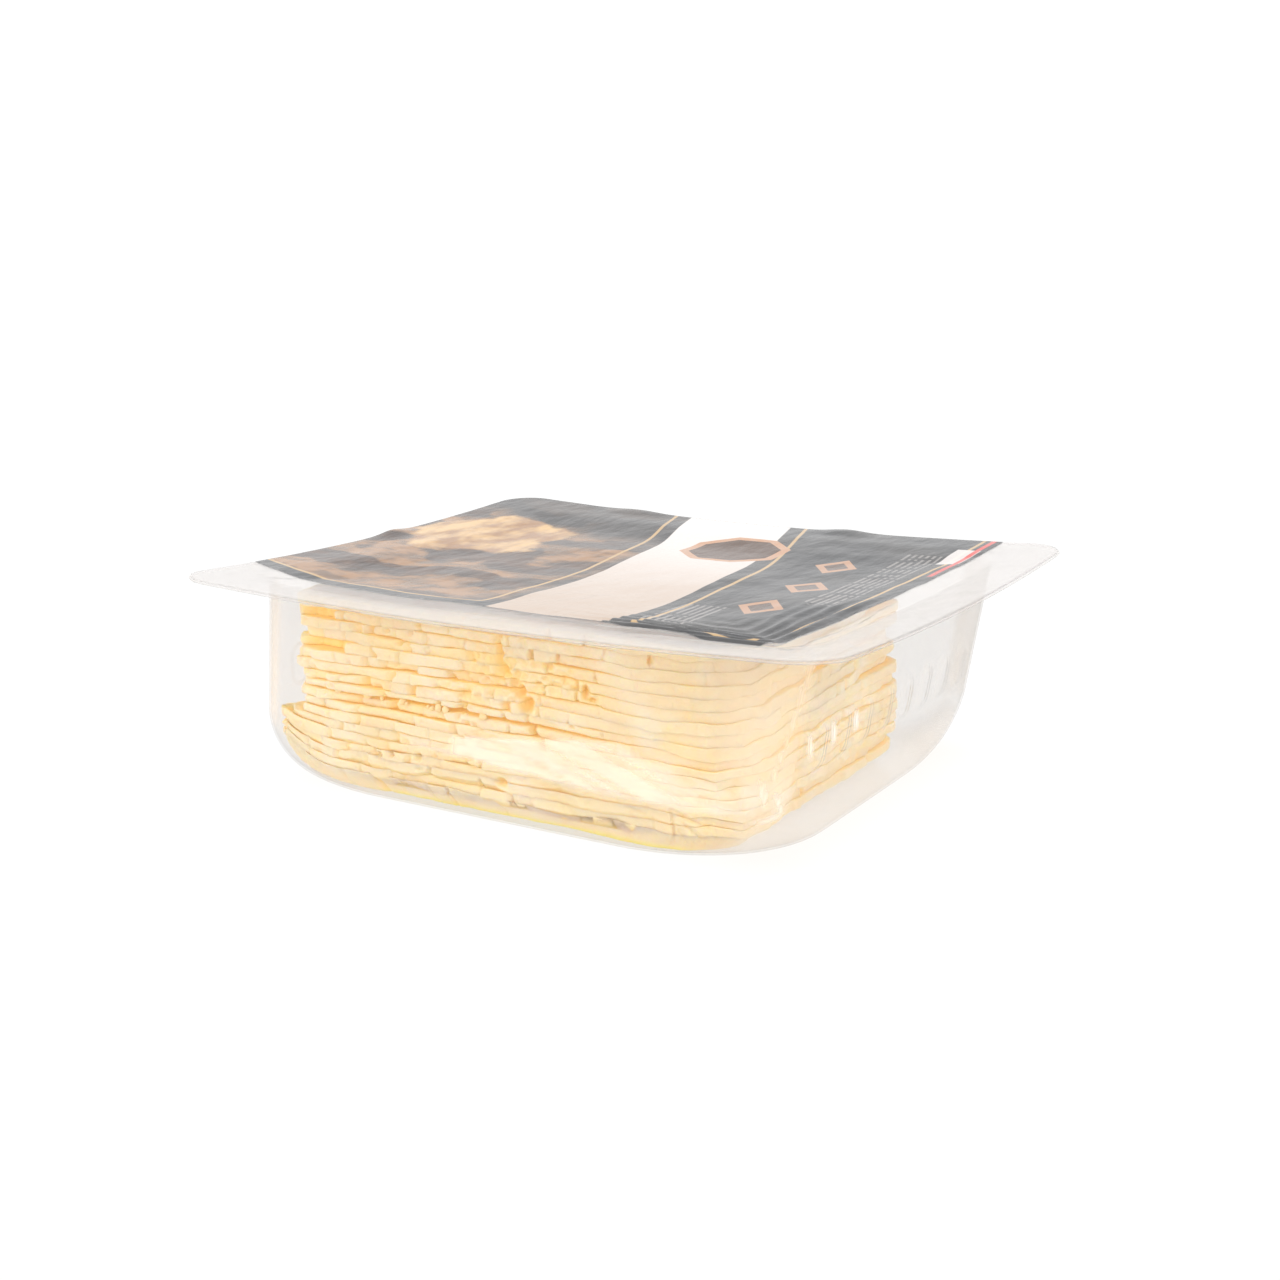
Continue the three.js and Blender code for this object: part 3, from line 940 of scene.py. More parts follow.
    def _rules(self, sheet: NodeSheet, x: Socket, y: Socket, colour: Socket) -> bpy.types.NodeSocket:
        """Rule blocks of fine pale stripes, a pale panel and a red stripe near the right edge.

        Args:
            sheet: Node tree of the material.
            x: Place along X.
            y: Place along Y.
            colour: Colour under them.

        Returns:
            Colour with them.
        """
        stripe = sheet.ramp(sheet.calc("PINGPONG", x, self.stripe_pitch), 0.0003, 0.0006)
        broken = sheet.ramp(sheet.noise(420.0, 2.0, (0.3, 1.0, 1.0)), 0.38, 0.48)
        for block in self.stripe_blocks:
            lines = sheet.calc("MULTIPLY", stripe, block.cover(sheet, x, y))
            share = sheet.calc("MULTIPLY", lines, sheet.calc("MULTIPLY", broken, 0.42))
            colour = sheet.blend(share, colour, self.stripe)
        panel = sheet.calc("MULTIPLY", self.pale_panel.cover(sheet, x, y), 0.85)
        colour = sheet.blend(panel, colour, self.cream)
        red = sheet.ramp(sheet.within(x, self.red_place, self.red_half), 0.0, CLEAN_EDGE)
        behind = sheet.ramp(y, 0.024, 0.026)
        return sheet.blend(sheet.calc("MULTIPLY", red, behind), colour, self.red)

    def _motifs(self, sheet: NodeSheet, x: Socket, y: Socket, colour: Socket) -> bpy.types.NodeSocket:
        """Set plain lozenges and one eight sided badge on the fields.

        Args:
            sheet: Node tree of the material.
            x: Place along X.
            y: Place along Y.
            colour: Colour under them.

        Returns:
            Colour with them.
        """
        for centre_x, centre_y in self.lozenges:
            dx, dy = sheet.away(x, centre_x), sheet.away(y, centre_y)
            reach = sheet.calc("MULTIPLY_ADD", dy, self.lozenge_slope, dx)
            colour = self._spot(sheet, reach, self.lozenge_reach, 0.9, colour, self.copper)
            colour = self._spot(sheet, reach, self.lozenge_core, 0.8, colour, self.charcoal)
        dx, dy = sheet.away(x, self.badge[0]), sheet.away(y, self.badge[1])
        corner = sheet.calc("MULTIPLY", sheet.calc("ADD", dx, dy), 0.7071)
        badge = sheet.calc("MAXIMUM", sheet.calc("MAXIMUM", dx, dy), corner)
        colour = self._spot(sheet, badge, self.badge_reach, 1.0, colour, self.copper)
        return self._spot(sheet, badge, self.badge_core, 1.0, colour, self.brown)

    def _spot(
        self, sheet: NodeSheet, away: Socket, reach: float, cover: float, under: Socket, ink: Colour
    ) -> bpy.types.NodeSocket:
        """Ink a spot that reaches a distance from its middle over the colour under it."""
        return sheet.blend(sheet.ramp(away, reach, reach + CLEAN_EDGE, cover, 0.0), under, ink)


class RingStack:
    """Rings of a skin, one above the other, with the outward direction at each point."""

    def __init__(self) -> None:
        """Start with no ring."""
        self.places: list[np.ndarray] = []
        self.outward: list[np.ndarray] = []

    def keep(self, plan: tuple[np.ndarray, np.ndarray], height: np.ndarray | float) -> None:
        """Add a ring at its heights.

        Args:
            plan: Points of the ring, and the outward direction at each.
            height: Height of the ring, or of each point.
        """
        flat, facing = plan
        self.places.append(np.column_stack([flat, np.broadcast_to(height, len(flat))]))
        self.outward.append(facing)


@dataclass
class FormedTray:
    """The clear tray: flat rim, walls with a kink, ribbed ends and a rounded lower part."""

    form: PackForm
    thickness: float = 0.45
    ring: PlanRing = PlanRing(right=150, back=70, left=150, front=122, corner=22)
    base_shares: tuple[float, ...] = (0.12, 0.4, 0.66, 0.85, 0.95)
    bowl_rings: int = 14
    upper_rings: int = 10
    fine_from: float = 8.0
    fine_to: float = 30.0
    fine_step: float = 0.62
    bend_height: float = 1.4
    bend_reach: float = 0.9
    rim_insets: tuple[float, ...] = (9.4, 7.0, 4.2, 1.8, 0.5, 0.12)
    lip: float = 0.12
    rib_count: int = 8
    rib_pitch: float = 10.7
    rib_width: float = 7.0
    rib_length: float = 9.0
    rib_relief: float = 0.85
    rib_height: float = 23.0
    rib_flank: float = 2.1
    glint_height: float = 24.5
    fold_stations: tuple[float, ...] = (-24.0, -15.0, 5.6, 19.0, 30.0, 34.4, 45.7, 55.0, 61.0)
    fold_top: tuple[float, ...] = (16.0, 18.0, 20.5, 22.7, 23.3, 21.3, 19.1, 16.6, 12.6)
    fold_low: tuple[float, ...] = (15.4, 14.6, 13.6, 12.6, 12.5, 12.4, 11.9, 13.0, 12.4)
    fold_tilt: float = 0.19
    fold_fade: float = 1.1
    creases: tuple[Crease, ...] = (
        Crease((59.9, -54.4, 21.0), (60.6, -53.2, 13.6), 0.75, 0.45),
        Crease((61.9, -52.2, 17.5), (62.4, -49.9, 11.6), 0.60, 0.50),
        Crease((58.2, -54.0, 10.4), (62.6, -49.6, 12.4), 0.85, 0.60),
        Crease((43.0, -54.9, 19.6), (52.5, -55.2, 15.6), 0.35, 0.40),
        Crease((52.5, -55.2, 15.6), (58.2, -54.0, 10.4), 0.40, 0.55),
        Crease((36.5, -54.9, 13.4), (48.0, -54.9, 12.3), 0.40, 0.55),
    )
    wedge_levels: tuple[float, ...] = (17.0, 19.2, 28.5, 37.5, 43.0)
    wedge_left: tuple[float, ...] = (60.6, 60.2, 59.0, 56.6, 55.4)
    wedge_right: tuple[float, ...] = (61.2, 61.9, 64.4, 66.4, 67.6)
    corner_haze: float = 0.20
    bowl_haze: float = 0.20
    wedge_haze: float = 0.20
    wedge_painted_line: float = 0.40
    wall_wave: float = 0.10

    def rings(self) -> tuple[list[np.ndarray], list[np.ndarray]]:
        """Lay the outer skin's rings, from the middle of the base to the rim's edge.

        Returns:
            The rings as rows of x, y and z, and each ring's outward directions.
        """
        form = self.form
        stack = RingStack()
        width, depth, radius, middle_x, middle_y = (float(v) for v in form.wall(0.0, 0.0))
        for share in self.base_shares:
            plan = self.ring.points(width * share, depth * share, radius * share, middle_x, middle_y)
            stack.keep(plan, 0.0)
        bowl_end = math.asin(1 - self.fine_from / form.kink_height)
        turns = np.linspace(math.pi / 2, bowl_end, self.bowl_rings, endpoint=False)
        heights = [form.kink_height * (1 - math.sin(turn)) for turn in turns]
        heights += list(np.arange(self.fine_from, self.fine_to, self.fine_step))
        heights += list(np.linspace(self.fine_to, form.rim_height - self.bend_height, self.upper_rings))
        for height in heights:
            plan = self.ring.points(*(float(v) for v in form.wall(height, 0.0)))
            rise = (height / form.rim_height) ** 4 * form.curl(plan[0][:, 0], plan[0][:, 1])
            stack.keep(plan, height + rise)
        for turn in np.linspace(0.25, 1.0, 4) * math.pi / 2:
            inset = form.rim_border - self.bend_reach * (1 - math.cos(turn))
            rise = (self.bend_height - self.thickness) * math.sin(turn)
            stack.keep(*self._rim_ring(inset, form.rim_height - self.bend_height + rise))
        for inset in self.rim_insets:
            stack.keep(*self._rim_ring(inset, form.rim_height - self.thickness))
        return stack.places, stack.outward

    def _rim_ring(self, inset: float, height: float) -> tuple[tuple[np.ndarray, np.ndarray], np.ndarray]:
        """Give the plan of a ring of the rim, and its heights, curled up at the corners.

        Args:
            inset: Distance in from the rim's edge.
            height: Height of the ring where the rim is flat.

        Returns:
            The plan and the heights.
        """
        form = self.form
        radius = lerp(form.rim_corner, form.wall_corner_top, inset / form.rim_border)
        plan = self.ring.points(form.rim_width - 2 * inset, form.rim_depth - 2 * inset, radius)
        return plan, height + form.curl(plan[0][:, 0], plan[0][:, 1])

    def rib_swell(self, points: np.ndarray, outward: np.ndarray) -> tuple[np.ndarray, np.ndarray]:
        """Swell the arch-ended ribs out of the side walls.

        Args:
            points: Places on the skin.
            outward: Outward directions in plan.

        Returns:
            How far each place moves out, and how hazy the sheet is there: hazy where stretched at the
            flanks, with painted highlights on one flank of the near ribs and painted bright strokes on the
            right ribs.
        """
        on_side = np.abs(outward[..., 0]) > SIDE_ON
        on_right = outward[..., 0] > SIDE_ON
        swell = np.zeros(points.shape[:-1])
        stretch = np.zeros_like(swell)
        height = points[..., 2]
        tall = self.rib_length / 2 - self.rib_width / 2 + 0.9
        for i in range(self.rib_count):
            centre_y = self.form.base_shift[1] / 2 + (i - (self.rib_count - 1) / 2) * self.rib_pitch
            along = points[..., 1] - centre_y
            up = np.maximum(np.abs(height - self.rib_height) - tall, 0)
            inside = self.rib_width / 2 - np.hypot(along, up)
            swell = np.maximum(swell, smooth(inside / self.rib_flank) * self.rib_relief * on_side)
            flank = hump(inside, 0.6, 0.45) * on_side
            # Haze on the flanks where the sheet is stretched, with a painted highlight added on one flank of
            # the ribs near the front.
            near = smooth((12 - points[..., 1]) / 40)
            stretch = np.maximum(stretch, (0.05 + 0.16 * near * smooth((along + 2) / 3)) * flank)
            # Painted highlights: short bright slanted strokes on the near right ribs.
            slant = along + 4.4 + 0.32 * (height - self.glint_height)
            painted_glint = hump(slant, 0.0, 0.7) * hump(height, self.glint_height, 2.4, 4) * on_right
            stretch = np.maximum(stretch, 0.75 * painted_glint * smooth((-12 - centre_y) / 5))
        return swell, stretch

    def front_fold(self, points: np.ndarray, outward: np.ndarray) -> tuple[np.ndarray, np.ndarray]:
        """Pull the front wall into the long fold under its kink.

        Args:
            points: Places on the skin.
            outward: Outward directions in plan.

        Returns:
            How far each place moves out, and how hazy the fold's edge is, with a painted sheen in the fold's
            band standing in for the lamp's reflection.
        """
        x, height = points[..., 0], points[..., 2]
        top = np.interp(x, self.fold_stations, self.fold_top)
        low = np.interp(x, self.fold_stations, self.fold_low)
        span = np.maximum(top - low, 0.3)
        down = (top - height) / span
        ends = smooth((x + 25) / 7) * smooth((63 - x) / 6)
        rise = self.fold_tilt * span * ends
        below = np.exp(-((np.maximum(low - height, 0) / self.fold_fade) ** 1.3))
        on_front = smooth((-outward[..., 1] - 0.72) / 0.22)
        move = rise * np.clip(down, 0, 1) * below * on_front
        crease = hump(height, low, 0.45) * ends * on_front
        # Painted sheen: a bright patchy band inside the fold, standing in for the soft lamp's reflection.
        streak = Grain(31).layered((x + 2 * height) / 16, (height + 0.32 * x) / 1.7, 2)
        patch = smooth(0.5 + 0.9 * streak + 0.5 * smooth((30 - x) / 30))
        inside = smooth(down / 0.12) * smooth((1 - down) / 0.06) * smooth((x + 14) / 4)
        painted_sheen = inside * ends * on_front * lerp(0.05, 0.38, patch) * (1 - 0.4 * smooth((x - 36) / 10))
        ripple = 0.16 * Grain(32).layered(x / 5.5, (height + 0.3 * x) / 2.6, 2)
        return move + ripple * inside * ends * on_front, np.maximum(0.22 * crease, painted_sheen)

    def corner_creases(self, points: np.ndarray) -> tuple[np.ndarray, np.ndarray]:
        """Pinch a few short creases into the front right corner, under its kink.

        Args:
            points: Places on the skin.

        Returns:
            How far each place moves out, and how hazy it is.
        """
        move = np.zeros(points.shape[:-1])
        haze_and_sheen = np.zeros_like(move)
        for crease in self.creases:
            body = crease.profile(points, 0.05)
            move = np.maximum(move, crease.depth * body)
            haze_and_sheen = np.maximum(haze_and_sheen, 0.5 * body)
        return move, haze_and_sheen

    def painted_cheese_light(self, points: np.ndarray) -> np.ndarray:
        """Paint cheese-coloured light into the haze where the cheese lies close behind it.

        Args:
            points: Places on the skin.

        Returns:
            Values from 0 to 1.
        """
        x, y, height = points[..., 0], points[..., 1], points[..., 2]
        corner = smooth((x - 44) / 10) * smooth((-40 - y) / 6) * smooth((height - 15) / 5)
        front = 0.30 * smooth((-50 - y) / 3) * smooth((66 - x) / 8)
        return np.maximum(corner, front) * smooth((self.form.rim_height - height) / 1.5)

    def clouded_corner(self, points: np.ndarray) -> np.ndarray:
        """Cloud the front right corner in a wedge that narrows down to the creases, with a painted light
        line along its right edge.

        Args:
            points: Places on the skin.

        Returns:
            How hazy each place is.
        """
        x, y, height = points[..., 0], points[..., 1], points[..., 2]
        left = np.interp(height, self.wedge_levels, self.wedge_left)
        right = np.interp(height, self.wedge_levels, self.wedge_right)
        here = smooth((-44 - y) / 1.5) * smooth((height - 16) / 4) * smooth((45.4 - height) / 1.5)
        wedge = smooth((x - left + 11) / 12) * smooth((right - x) / 0.5)
        # Painted light: a bright line along the wedge's right edge, where the corner turns.
        line = hump(x, right - 0.15, 0.28)
        return here * np.maximum(self.wedge_haze * wedge, self.wedge_painted_line * line)

    def skin_normals(self, points: np.ndarray) -> np.ndarray:
        """Give the outward normals of the outer skin, of length 1.

        Args:
            points: Rings of the outer skin.

        Returns:
            A direction for each point.
        """
        around = np.roll(points, -1, axis=1) - np.roll(points, 1, axis=1)
        up = np.empty_like(points)
        up[1:-1] = points[2:] - points[:-2]
        up[0] = points[1] - points[0]
        up[-1] = points[-1] - points[-2]
        normal = np.cross(around, up)
        return normal / np.maximum(np.linalg.norm(normal, axis=-1, keepdims=True), 1e-9)

    def build(self) -> bpy.types.Object:
        """Make the tray as one closed sheet.

        Returns:
            The tray.
        """
        ring_points, ring_outward = self.rings()
        points, outward = np.array(ring_points), np.array(ring_outward)
        height, rim_height = points[..., 2], self.form.rim_height
        swell, stretch = self.rib_swell(points, outward)
        fold, fold_haze_and_sheen = self.front_fold(points, outward)
        pinch, pinch_haze = self.corner_creases(points)
        wave = Grain(11).layered((points[..., 0] + points[..., 1]) / 19, height / 16 + 3.1, 2)
        on_wall = smooth(height / 5) * smooth((rim_height - 3 - height) / 6)
        move = swell + fold + pinch + self.wall_wave * wave * on_wall
        points[..., :2] += outward * move[..., None]
        corner = smooth((2 * np.abs(outward[..., 0] * outward[..., 1]) - 0.15) / 0.6)
        corner *= smooth((height - 9) / 8) * smooth((rim_height + 1 - height) / 3)
        bowl = smooth((outward[..., 0] - 0.2) / 0.5) * smooth((14 - height) / 8) * smooth((height + 0.5) / 2)
        wedge = self.clouded_corner(points)
        # The haze also carries painted highlights on the ribs, a painted sheen in the fold and a painted
        # light line at the corner.
        haze_and_sheen_layers = [stretch, fold_haze_and_sheen, pinch_haze, self.corner_haze * corner, self.bowl_haze * bowl, wedge]
        haze_and_sheen = np.maximum.reduce(haze_and_sheen_layers)
        inner = points - self.skin_normals(points) * self.thickness
        past_edge = np.column_stack([outward[-1] * self.lip, np.zeros(len(points[-1]))])
        lip = (points[-1] + inner[-1]) / 2 + past_edge
        skin = np.concatenate([points, lip[None], inner[::-1]])
        edge = np.zeros(skin.shape[:-1])
        edge[len(points) - 1 : len(points) + 2] = 1.0
        both = np.concatenate([haze_and_sheen, haze_and_sheen[-1:], haze_and_sheen[::-1]])
        # Painted light: cheese-coloured light in the haze, kept off the cut edge.
        painted_cheese_light = self.painted_cheese_light(skin) * (1 - edge)
        return close_skin("tray_sheet", skin, {"haze_and_sheen": both, "cut_edge": edge, "painted_cheese_light": painted_cheese_light})


@dataclass
class SliceStack:
    """Eighteen slices whose edges are torn into short bricks, pits and crumbs.

    A hollow is a slice's number, its start and end along X, and its depth. A crumbly spot and a pit
    are a middle's X and Z, a half width, a half height, and a depth. All are on the front.
    """

    form: PackForm
    seed: int = 4307
    middle: tuple[float, float] = (-3.5, -9.65)
    reach: tuple[float, float] = (118.0, 88.5)
    right_end: float = 53.4
    back_end: float = 32.0
    face_shares: tuple[float, ...] = (0.45, 0.80, 0.92, 0.975)
    edge_stops: tuple[float, ...] = (0.0, 0.05, 0.16, 0.34, 0.5, 0.66, 0.84, 0.95, 1.0)
    inner_gap: float = 0.05
    open_gap: float = 0.11
    bottom_tuck: float = 3.4
    outline_corner: float = 3.0
    # Painted shade and glow on the faces, which show only in the gaps between slices.
    face_painted_shade: float = 0.8
    # Strength and height of the painted yellow glow on the bottom slice's lower edge.
    underglow_cover: float = 0.95
    underglow_height: float = 0.30
    pit_count: int = 20
    corner_direction: tuple[float, float] = (0.796, -0.606)
    hollows: tuple[tuple[float, ...], ...] = (
        (17, -56.5, -45.0, 3.2),
        (14, -56.0, -42.5, 4.2),
        (16, -40.0, -36.5, 1.2),
        (11, -53.0, -47.0, 1.6),
    )
    crumbly_spots: tuple[tuple[float, ...], ...] = (
        (1, 33, 9, 7, 1.3),
        (-12, 27.5, 5, 2.2, 1.2),
        (14, 34, 5, 4, 0.8),
    )
    pits: tuple[tuple[float, ...], ...] = (
        (3.6, 29.2, 1.1, 1.2, 3.4), (5.4, 26.6, 1.5, 1.4, 4.4), (-1.6, 37.0, 0.9, 2.6, 2.4),
        (-0.4, 33.4, 1.0, 1.4, 2.6), (-27.7, 36.2, 0.5, 0.4, 1.4), (20.0, 31.4, 0.8, 1.3, 2.8),
        (21.8, 29.8, 0.9, 0.6, 2.4), (11.4, 35.6, 1.1, 0.7, 1.7), (35.2, 40.0, 0.6, 1.0, 1.5),
        (-33.6, 10.2, 0.7, 0.6, 1.9), (-30.2, 10.8, 0.8, 0.6, 2.1), (-23.4, 11.2, 0.8, 0.7, 1.8),
        (-10.0, 13.4, 1.5, 0.7, 2.9), (-1.0, 9.2, 1.2, 0.8, 2.2), (-6.4, 7.8, 0.4, 1.3, 1.6),
        (9.0, 14.6, 1.7, 0.7, 2.2), (14.6, 13.4, 1.2, 0.6, 1.8), (-12.4, 22.6, 0.5, 1.4, 1.8),
    )
    creases: tuple[Crease, ...] = (
        Crease((36.4, 9.6), (36.6, 4.4), 0.42, 0.55),
        Crease((40.4, 10.6), (41.2, 3.4), 0.40, 0.60),
        Crease((40.6, 10.6), (47.8, 7.4), 0.38, 0.75),
        Crease((43.0, 8.0), (47.4, 4.4), 0.34, 0.55),
        Crease((42.0, 6.2), (44.4, 3.2), 0.30, 0.45),
        Crease((30.0, 9.4), (34.6, 8.6), 0.34, 0.45),
    )

    def rays(self) -> tuple[np.ndarray, np.ndarray, np.ndarray, np.ndarray]:
        """Spread the rays that carry every slice's points.

        Returns:
            Each ray's direction, its run along the outline, its side, and its slant to that side.
            The run goes on from the front to the right side and the back, and starts on the left.
        """
        ring = PlanRing(right=148, back=100, left=112, front=262, corner=3)
        plan, _ = ring.points(self.reach[0], self.reach[1], self.outline_corner)
        steps = np.linalg.norm(np.roll(plan, -1, axis=0) - plan, axis=1)
        run = np.concatenate([[0], np.cumsum(steps)[:-1]])
        direction = plan / np.linalg.norm(plan, axis=1, keepdims=True)
        across = np.abs(plan[:, 0]) / self.reach[0] > np.abs(plan[:, 1]) / self.reach[1]
        side = np.where(across, np.where(plan[:, 0] > 0, Side.RIGHT.value, Side.LEFT.value), 0)
        side = np.where(~across, np.where(plan[:, 1] > 0, Side.BACK.value, Side.FRONT.value), side)
        run = np.where(run < self.lap / 2, run + self.lap, run)
        slant = (direction**4).sum(axis=1) ** 0.25
        return direction, run, side, slant

    @property
    def lap(self) -> float:
        """Length once round the outline that the rays are spread over."""
        return 2 * sum(self.reach) - (8 - 2 * math.pi) * self.outline_corner

    def packed_reach(self, number: int, direction: np.ndarray) -> np.ndarray:
        """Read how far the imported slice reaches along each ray.

        Args:
            number: Slice's number, 1 at the bottom.
            direction: Directions of the rays.

        Returns:
            Distances from the stack's middle.
        """
        points = node_points(f"slice_{number:02d}")[:, :2] - np.array(self.middle)
        angle = np.round(np.arctan2(points[:, 1], points[:, 0]), 3)
        reach = np.hypot(points[:, 0], points[:, 1])
        known = np.array([a for a in np.unique(angle) if reach[angle == a].max() > 20.0])
        far = np.array([reach[angle == a].max() for a in known])
        known = np.concatenate([[known[-1] - 2 * math.pi], known, [known[0] + 2 * math.pi]])
        far = np.concatenate([[far[-1]], far, [far[0]]])
        wanted = np.arctan2(direction[:, 1], direction[:, 0])
        k = np.clip(np.searchsorted(known, wanted, side="right") - 1, 0, len(known) - 2)
        first, second = far[k], far[k + 1]
        chord = first * second * np.sin(known[k + 1] - known[k])
        return chord / (first * np.sin(wanted - known[k]) + second * np.sin(known[k + 1] - wanted))

    def calmness(self, number: int, x: np.ndarray, y: np.ndarray, side: np.ndarray) -> np.ndarray:
        """Tell where the slices are smooth and have run together, from 0 to 1.

        Args:
            number: Slice's number, 1 at the bottom.
            x: Places along X.
            y: Places along Y.
            side: Number of each place's side.

        Returns:
            A value for each place.
        """
        upper = smooth((x - 16) / 15)
        lower = smooth((x + 16) / 26) * smooth((8 - number) / 3)
        right = 0.7 + 0.3 * smooth((-y - 18) / 25)
        behind = 0.45 * smooth((y + 50) / 16)
        low_left = 0.5 * smooth((-10 - x) / 16) * smooth((8 - number) / 3)
        calm = np.where(side == Side.FRONT.value, np.maximum.reduce([upper, lower, low_left]), behind)
        return np.where(side == Side.RIGHT.value, right, calm)

    def joint_line(self, joint: int, run: np.ndarray, calm: np.ndarray) -> np.ndarray:
        """Tell how plainly the joint between two slices shows, from 0 to 1.

        Args:
            joint: Joint's number, 0 under the stack.
            run: Places along the outline.
            calm: How smooth the edge is at each place.

        Returns:
            A value for each place.
        """
        wander = Grain(self.seed + 700).layered(run / 12, joint * 7.7, 3)
        shown = smooth((wander + 0.30) / 0.55) * (1 - 0.8 * calm)
        if joint == self.form.parting_slice - 1:
            shown = np.maximum(shown, 1 - calm)
        return shown

    def torn_depth(
        self, number: int, run: np.ndarray, calm: np.ndarray, lines: tuple[np.ndarray, np.ndarray]
    ) -> np.ndarray:
        """Tear one slice's edge into short bricks with breaks and pits.

        Args:
            number: Slice's number, 1 at the bottom.
            run: Places along the outline.
            calm: How smooth the edge is at each place.
            lines: How plainly the lower and the upper joint show.

        Returns:
            How far each point is sunk, one row for each stop over the thickness.
        """
        random = np.random.default_rng(self.seed + 97 * number)
        v = np.array(self.edge_stops)[:, None]
        fine, coarse = Grain(self.seed + number), Grain(self.seed + 50 + number)
        depth = np.zeros((len(v), len(run)))
        local = run % self.lap
        end = 0.0
        while end < self.lap:
            start = end
            end += random.uniform(4.0, 11.0) * (1.0 if random.random() < 0.72 else 2.2)
            stands = random.normal(0.0, 0.34)
            kind, lean = random.random(), random.uniform(-0.6, 0.6)
            width = random.uniform(0.16, 0.3) if kind < 0.6 else random.uniform(0.28, 0.55)
            sunk = random.uniform(0.45, 1.0) if kind < 0.6 else random.uniform(0.9, 1.8)
            if kind > 0.89:
                width, sunk = random.uniform(0.5, 1.0), random.uniform(1.6, 3.0)
            apart = local[None, :] - end - lean * (v - 0.5) - 0.35 * fine.at(v * 3, end)
            level = smooth((local - start) / 0.6) * smooth((min(end, self.lap) - local) / 0.6)
            depth += (stands * level * (1 - 0.7 * calm))[None, :]
            depth += sunk * (1 - 0.9 * calm)[None, :] * np.exp(-(np.abs(apart / width) ** 1.6))
        for _ in range(self.pit_count):
            centre, middle_v = random.uniform(0, self.lap), random.uniform(0.1, 0.9)
            wide, deep = random.uniform(0.4, 1.1), random.uniform(0.3, 1.2)
            up = (v - middle_v) * self.form.slice_pitch
            pit = hump(local[None, :], centre, wide) * hump(up, 0.0, 0.7 * wide)
            depth += deep * (1 - 0.75 * calm)[None, :] * pit
        for line, height in zip(lines, (v, 1 - v)):
            near = np.clip(1 - height / lerp(lerp(0.10, 0.36, calm), 0.42, line)[None, :], 0, 1)
            depth += lerp(0.015, 0.72, line)[None, :] * (1 - np.sqrt(1 - near**2))
        grit = 0.13 * fine.layered(run[None, :] / 1.4, v * 2.4 + 5 * number, 3)
        depth += grit * (1 - 0.6 * calm)[None, :]
        depth += 0.24 * coarse.layered(run[None, :] / 8, v * 0.8, 2)
        shared = Grain(self.seed + 90).layered(run[None, :] / 9, (number + v) * 0.28, 3)
        swell = Grain(self.seed + 91).at(run[None, :] / 3.4, (number + v) * 0.55)
        return depth + calm[None, :] * (0.55 * shared + 0.16 * swell)

    def _front_marks(self, number: int, x: np.ndarray, z: np.ndarray, on_front: np.ndarray) -> np.ndarray:
        """Sink the hollows that stand out on the front, and swell the lumps at its lower right.

        Args:
            number: Slice's number.
            x: Places along X.
            z: Heights, one row for each stop.
            on_front: Whether each place is on the front.

        Returns:
            How far each point is sunk.
        """
        depth = np.zeros_like(z)
        for hollowed, start, end, deep in self.hollows:
            if hollowed == number:
                depth += deep * (smooth((x - start + 1) / 1.5) * smooth((end - x) / 2.5))[None, :]
        rough = Grain(self.seed + 800).layered(x[None, :] / 1.7, z / 1.5, 2)
        for centre_x, centre_z, wide, tall, deep in self.crumbly_spots:
            crumbly = hump(x[None, :], centre_x, wide) * hump(z, centre_z, tall)
            depth += deep * crumbly * smooth(0.5 + 1.4 * rough)
        for centre_x, centre_z, wide, tall, deep in self.pits:
            far = ((x[None, :] - centre_x) / wide) ** 2 + ((z - centre_z) / tall) ** 2
            depth += deep * np.exp(-(far**1.3))
        places = np.stack([np.broadcast_to(x[None, :], z.shape), z], axis=-1)
        for crease in self.creases:
            depth += crease.depth * crease.profile(places, 0.1)
        depth -= 0.6 * hump(x[None, :], 38.4, 2.4, 4) * hump(z, 6.5, 3.8, 4)
        return depth * on_front[None, :]

    def pressed_reach(self, number: int, direction: np.ndarray, reach: np.ndarray) -> np.ndarray:
        """Press a slice's edge out toward the tray's wall, most of all in the lower slices.

        Args:
            number: Slice's number, 1 at the bottom.
            direction: Directions of the rays.
            reach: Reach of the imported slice.

        Returns:
            Reach of the dressed slice.
        """
        form = self.form
        low, high = np.full_like(reach, 20.0), np.full_like(reach, 120.0)
        for _ in range(16):
            middle = (low + high) / 2
            flat = np.array(self.middle) + direction * middle[:, None]
            held = form.outside_wall(flat[:, 0], flat[:, 1], form.kink_height) <= 0
            low, high = np.where(held, middle, low), np.where(held, high, middle)
        under = smooth((9.5 - number) / 4)
        front = smooth((-direction[:, 1] - 0.35) / 0.4) * lerp(0.35, 0.65, under)
        left = smooth((-direction[:, 0] - 0.45) / 0.4) * lerp(0.34, 0.85, smooth((7.5 - number) / 2.5))
        right = smooth((direction[:, 0] - 0.45) / 0.4) * lerp(0.0, 0.2, under)
        press = np.maximum.reduce([front, left, right])
        pressed = reach + np.maximum(low - reach, 0) * press
        to_right = (self.right_end - self.middle[0]) / np.maximum(direction[:, 0], 1e-6)
        to_back = (self.back_end - self.middle[1]) / np.maximum(direction[:, 1], 1e-6)
        pressed = np.minimum(pressed, np.minimum(to_right, to_back))
        near_corner = smooth((direction @ np.array(self.corner_direction) - 0.94) / 0.05)
        return lerp(self.rounded(pressed, 14, 6.5), self.rounded(pressed, 48, 21.0), near_corner)

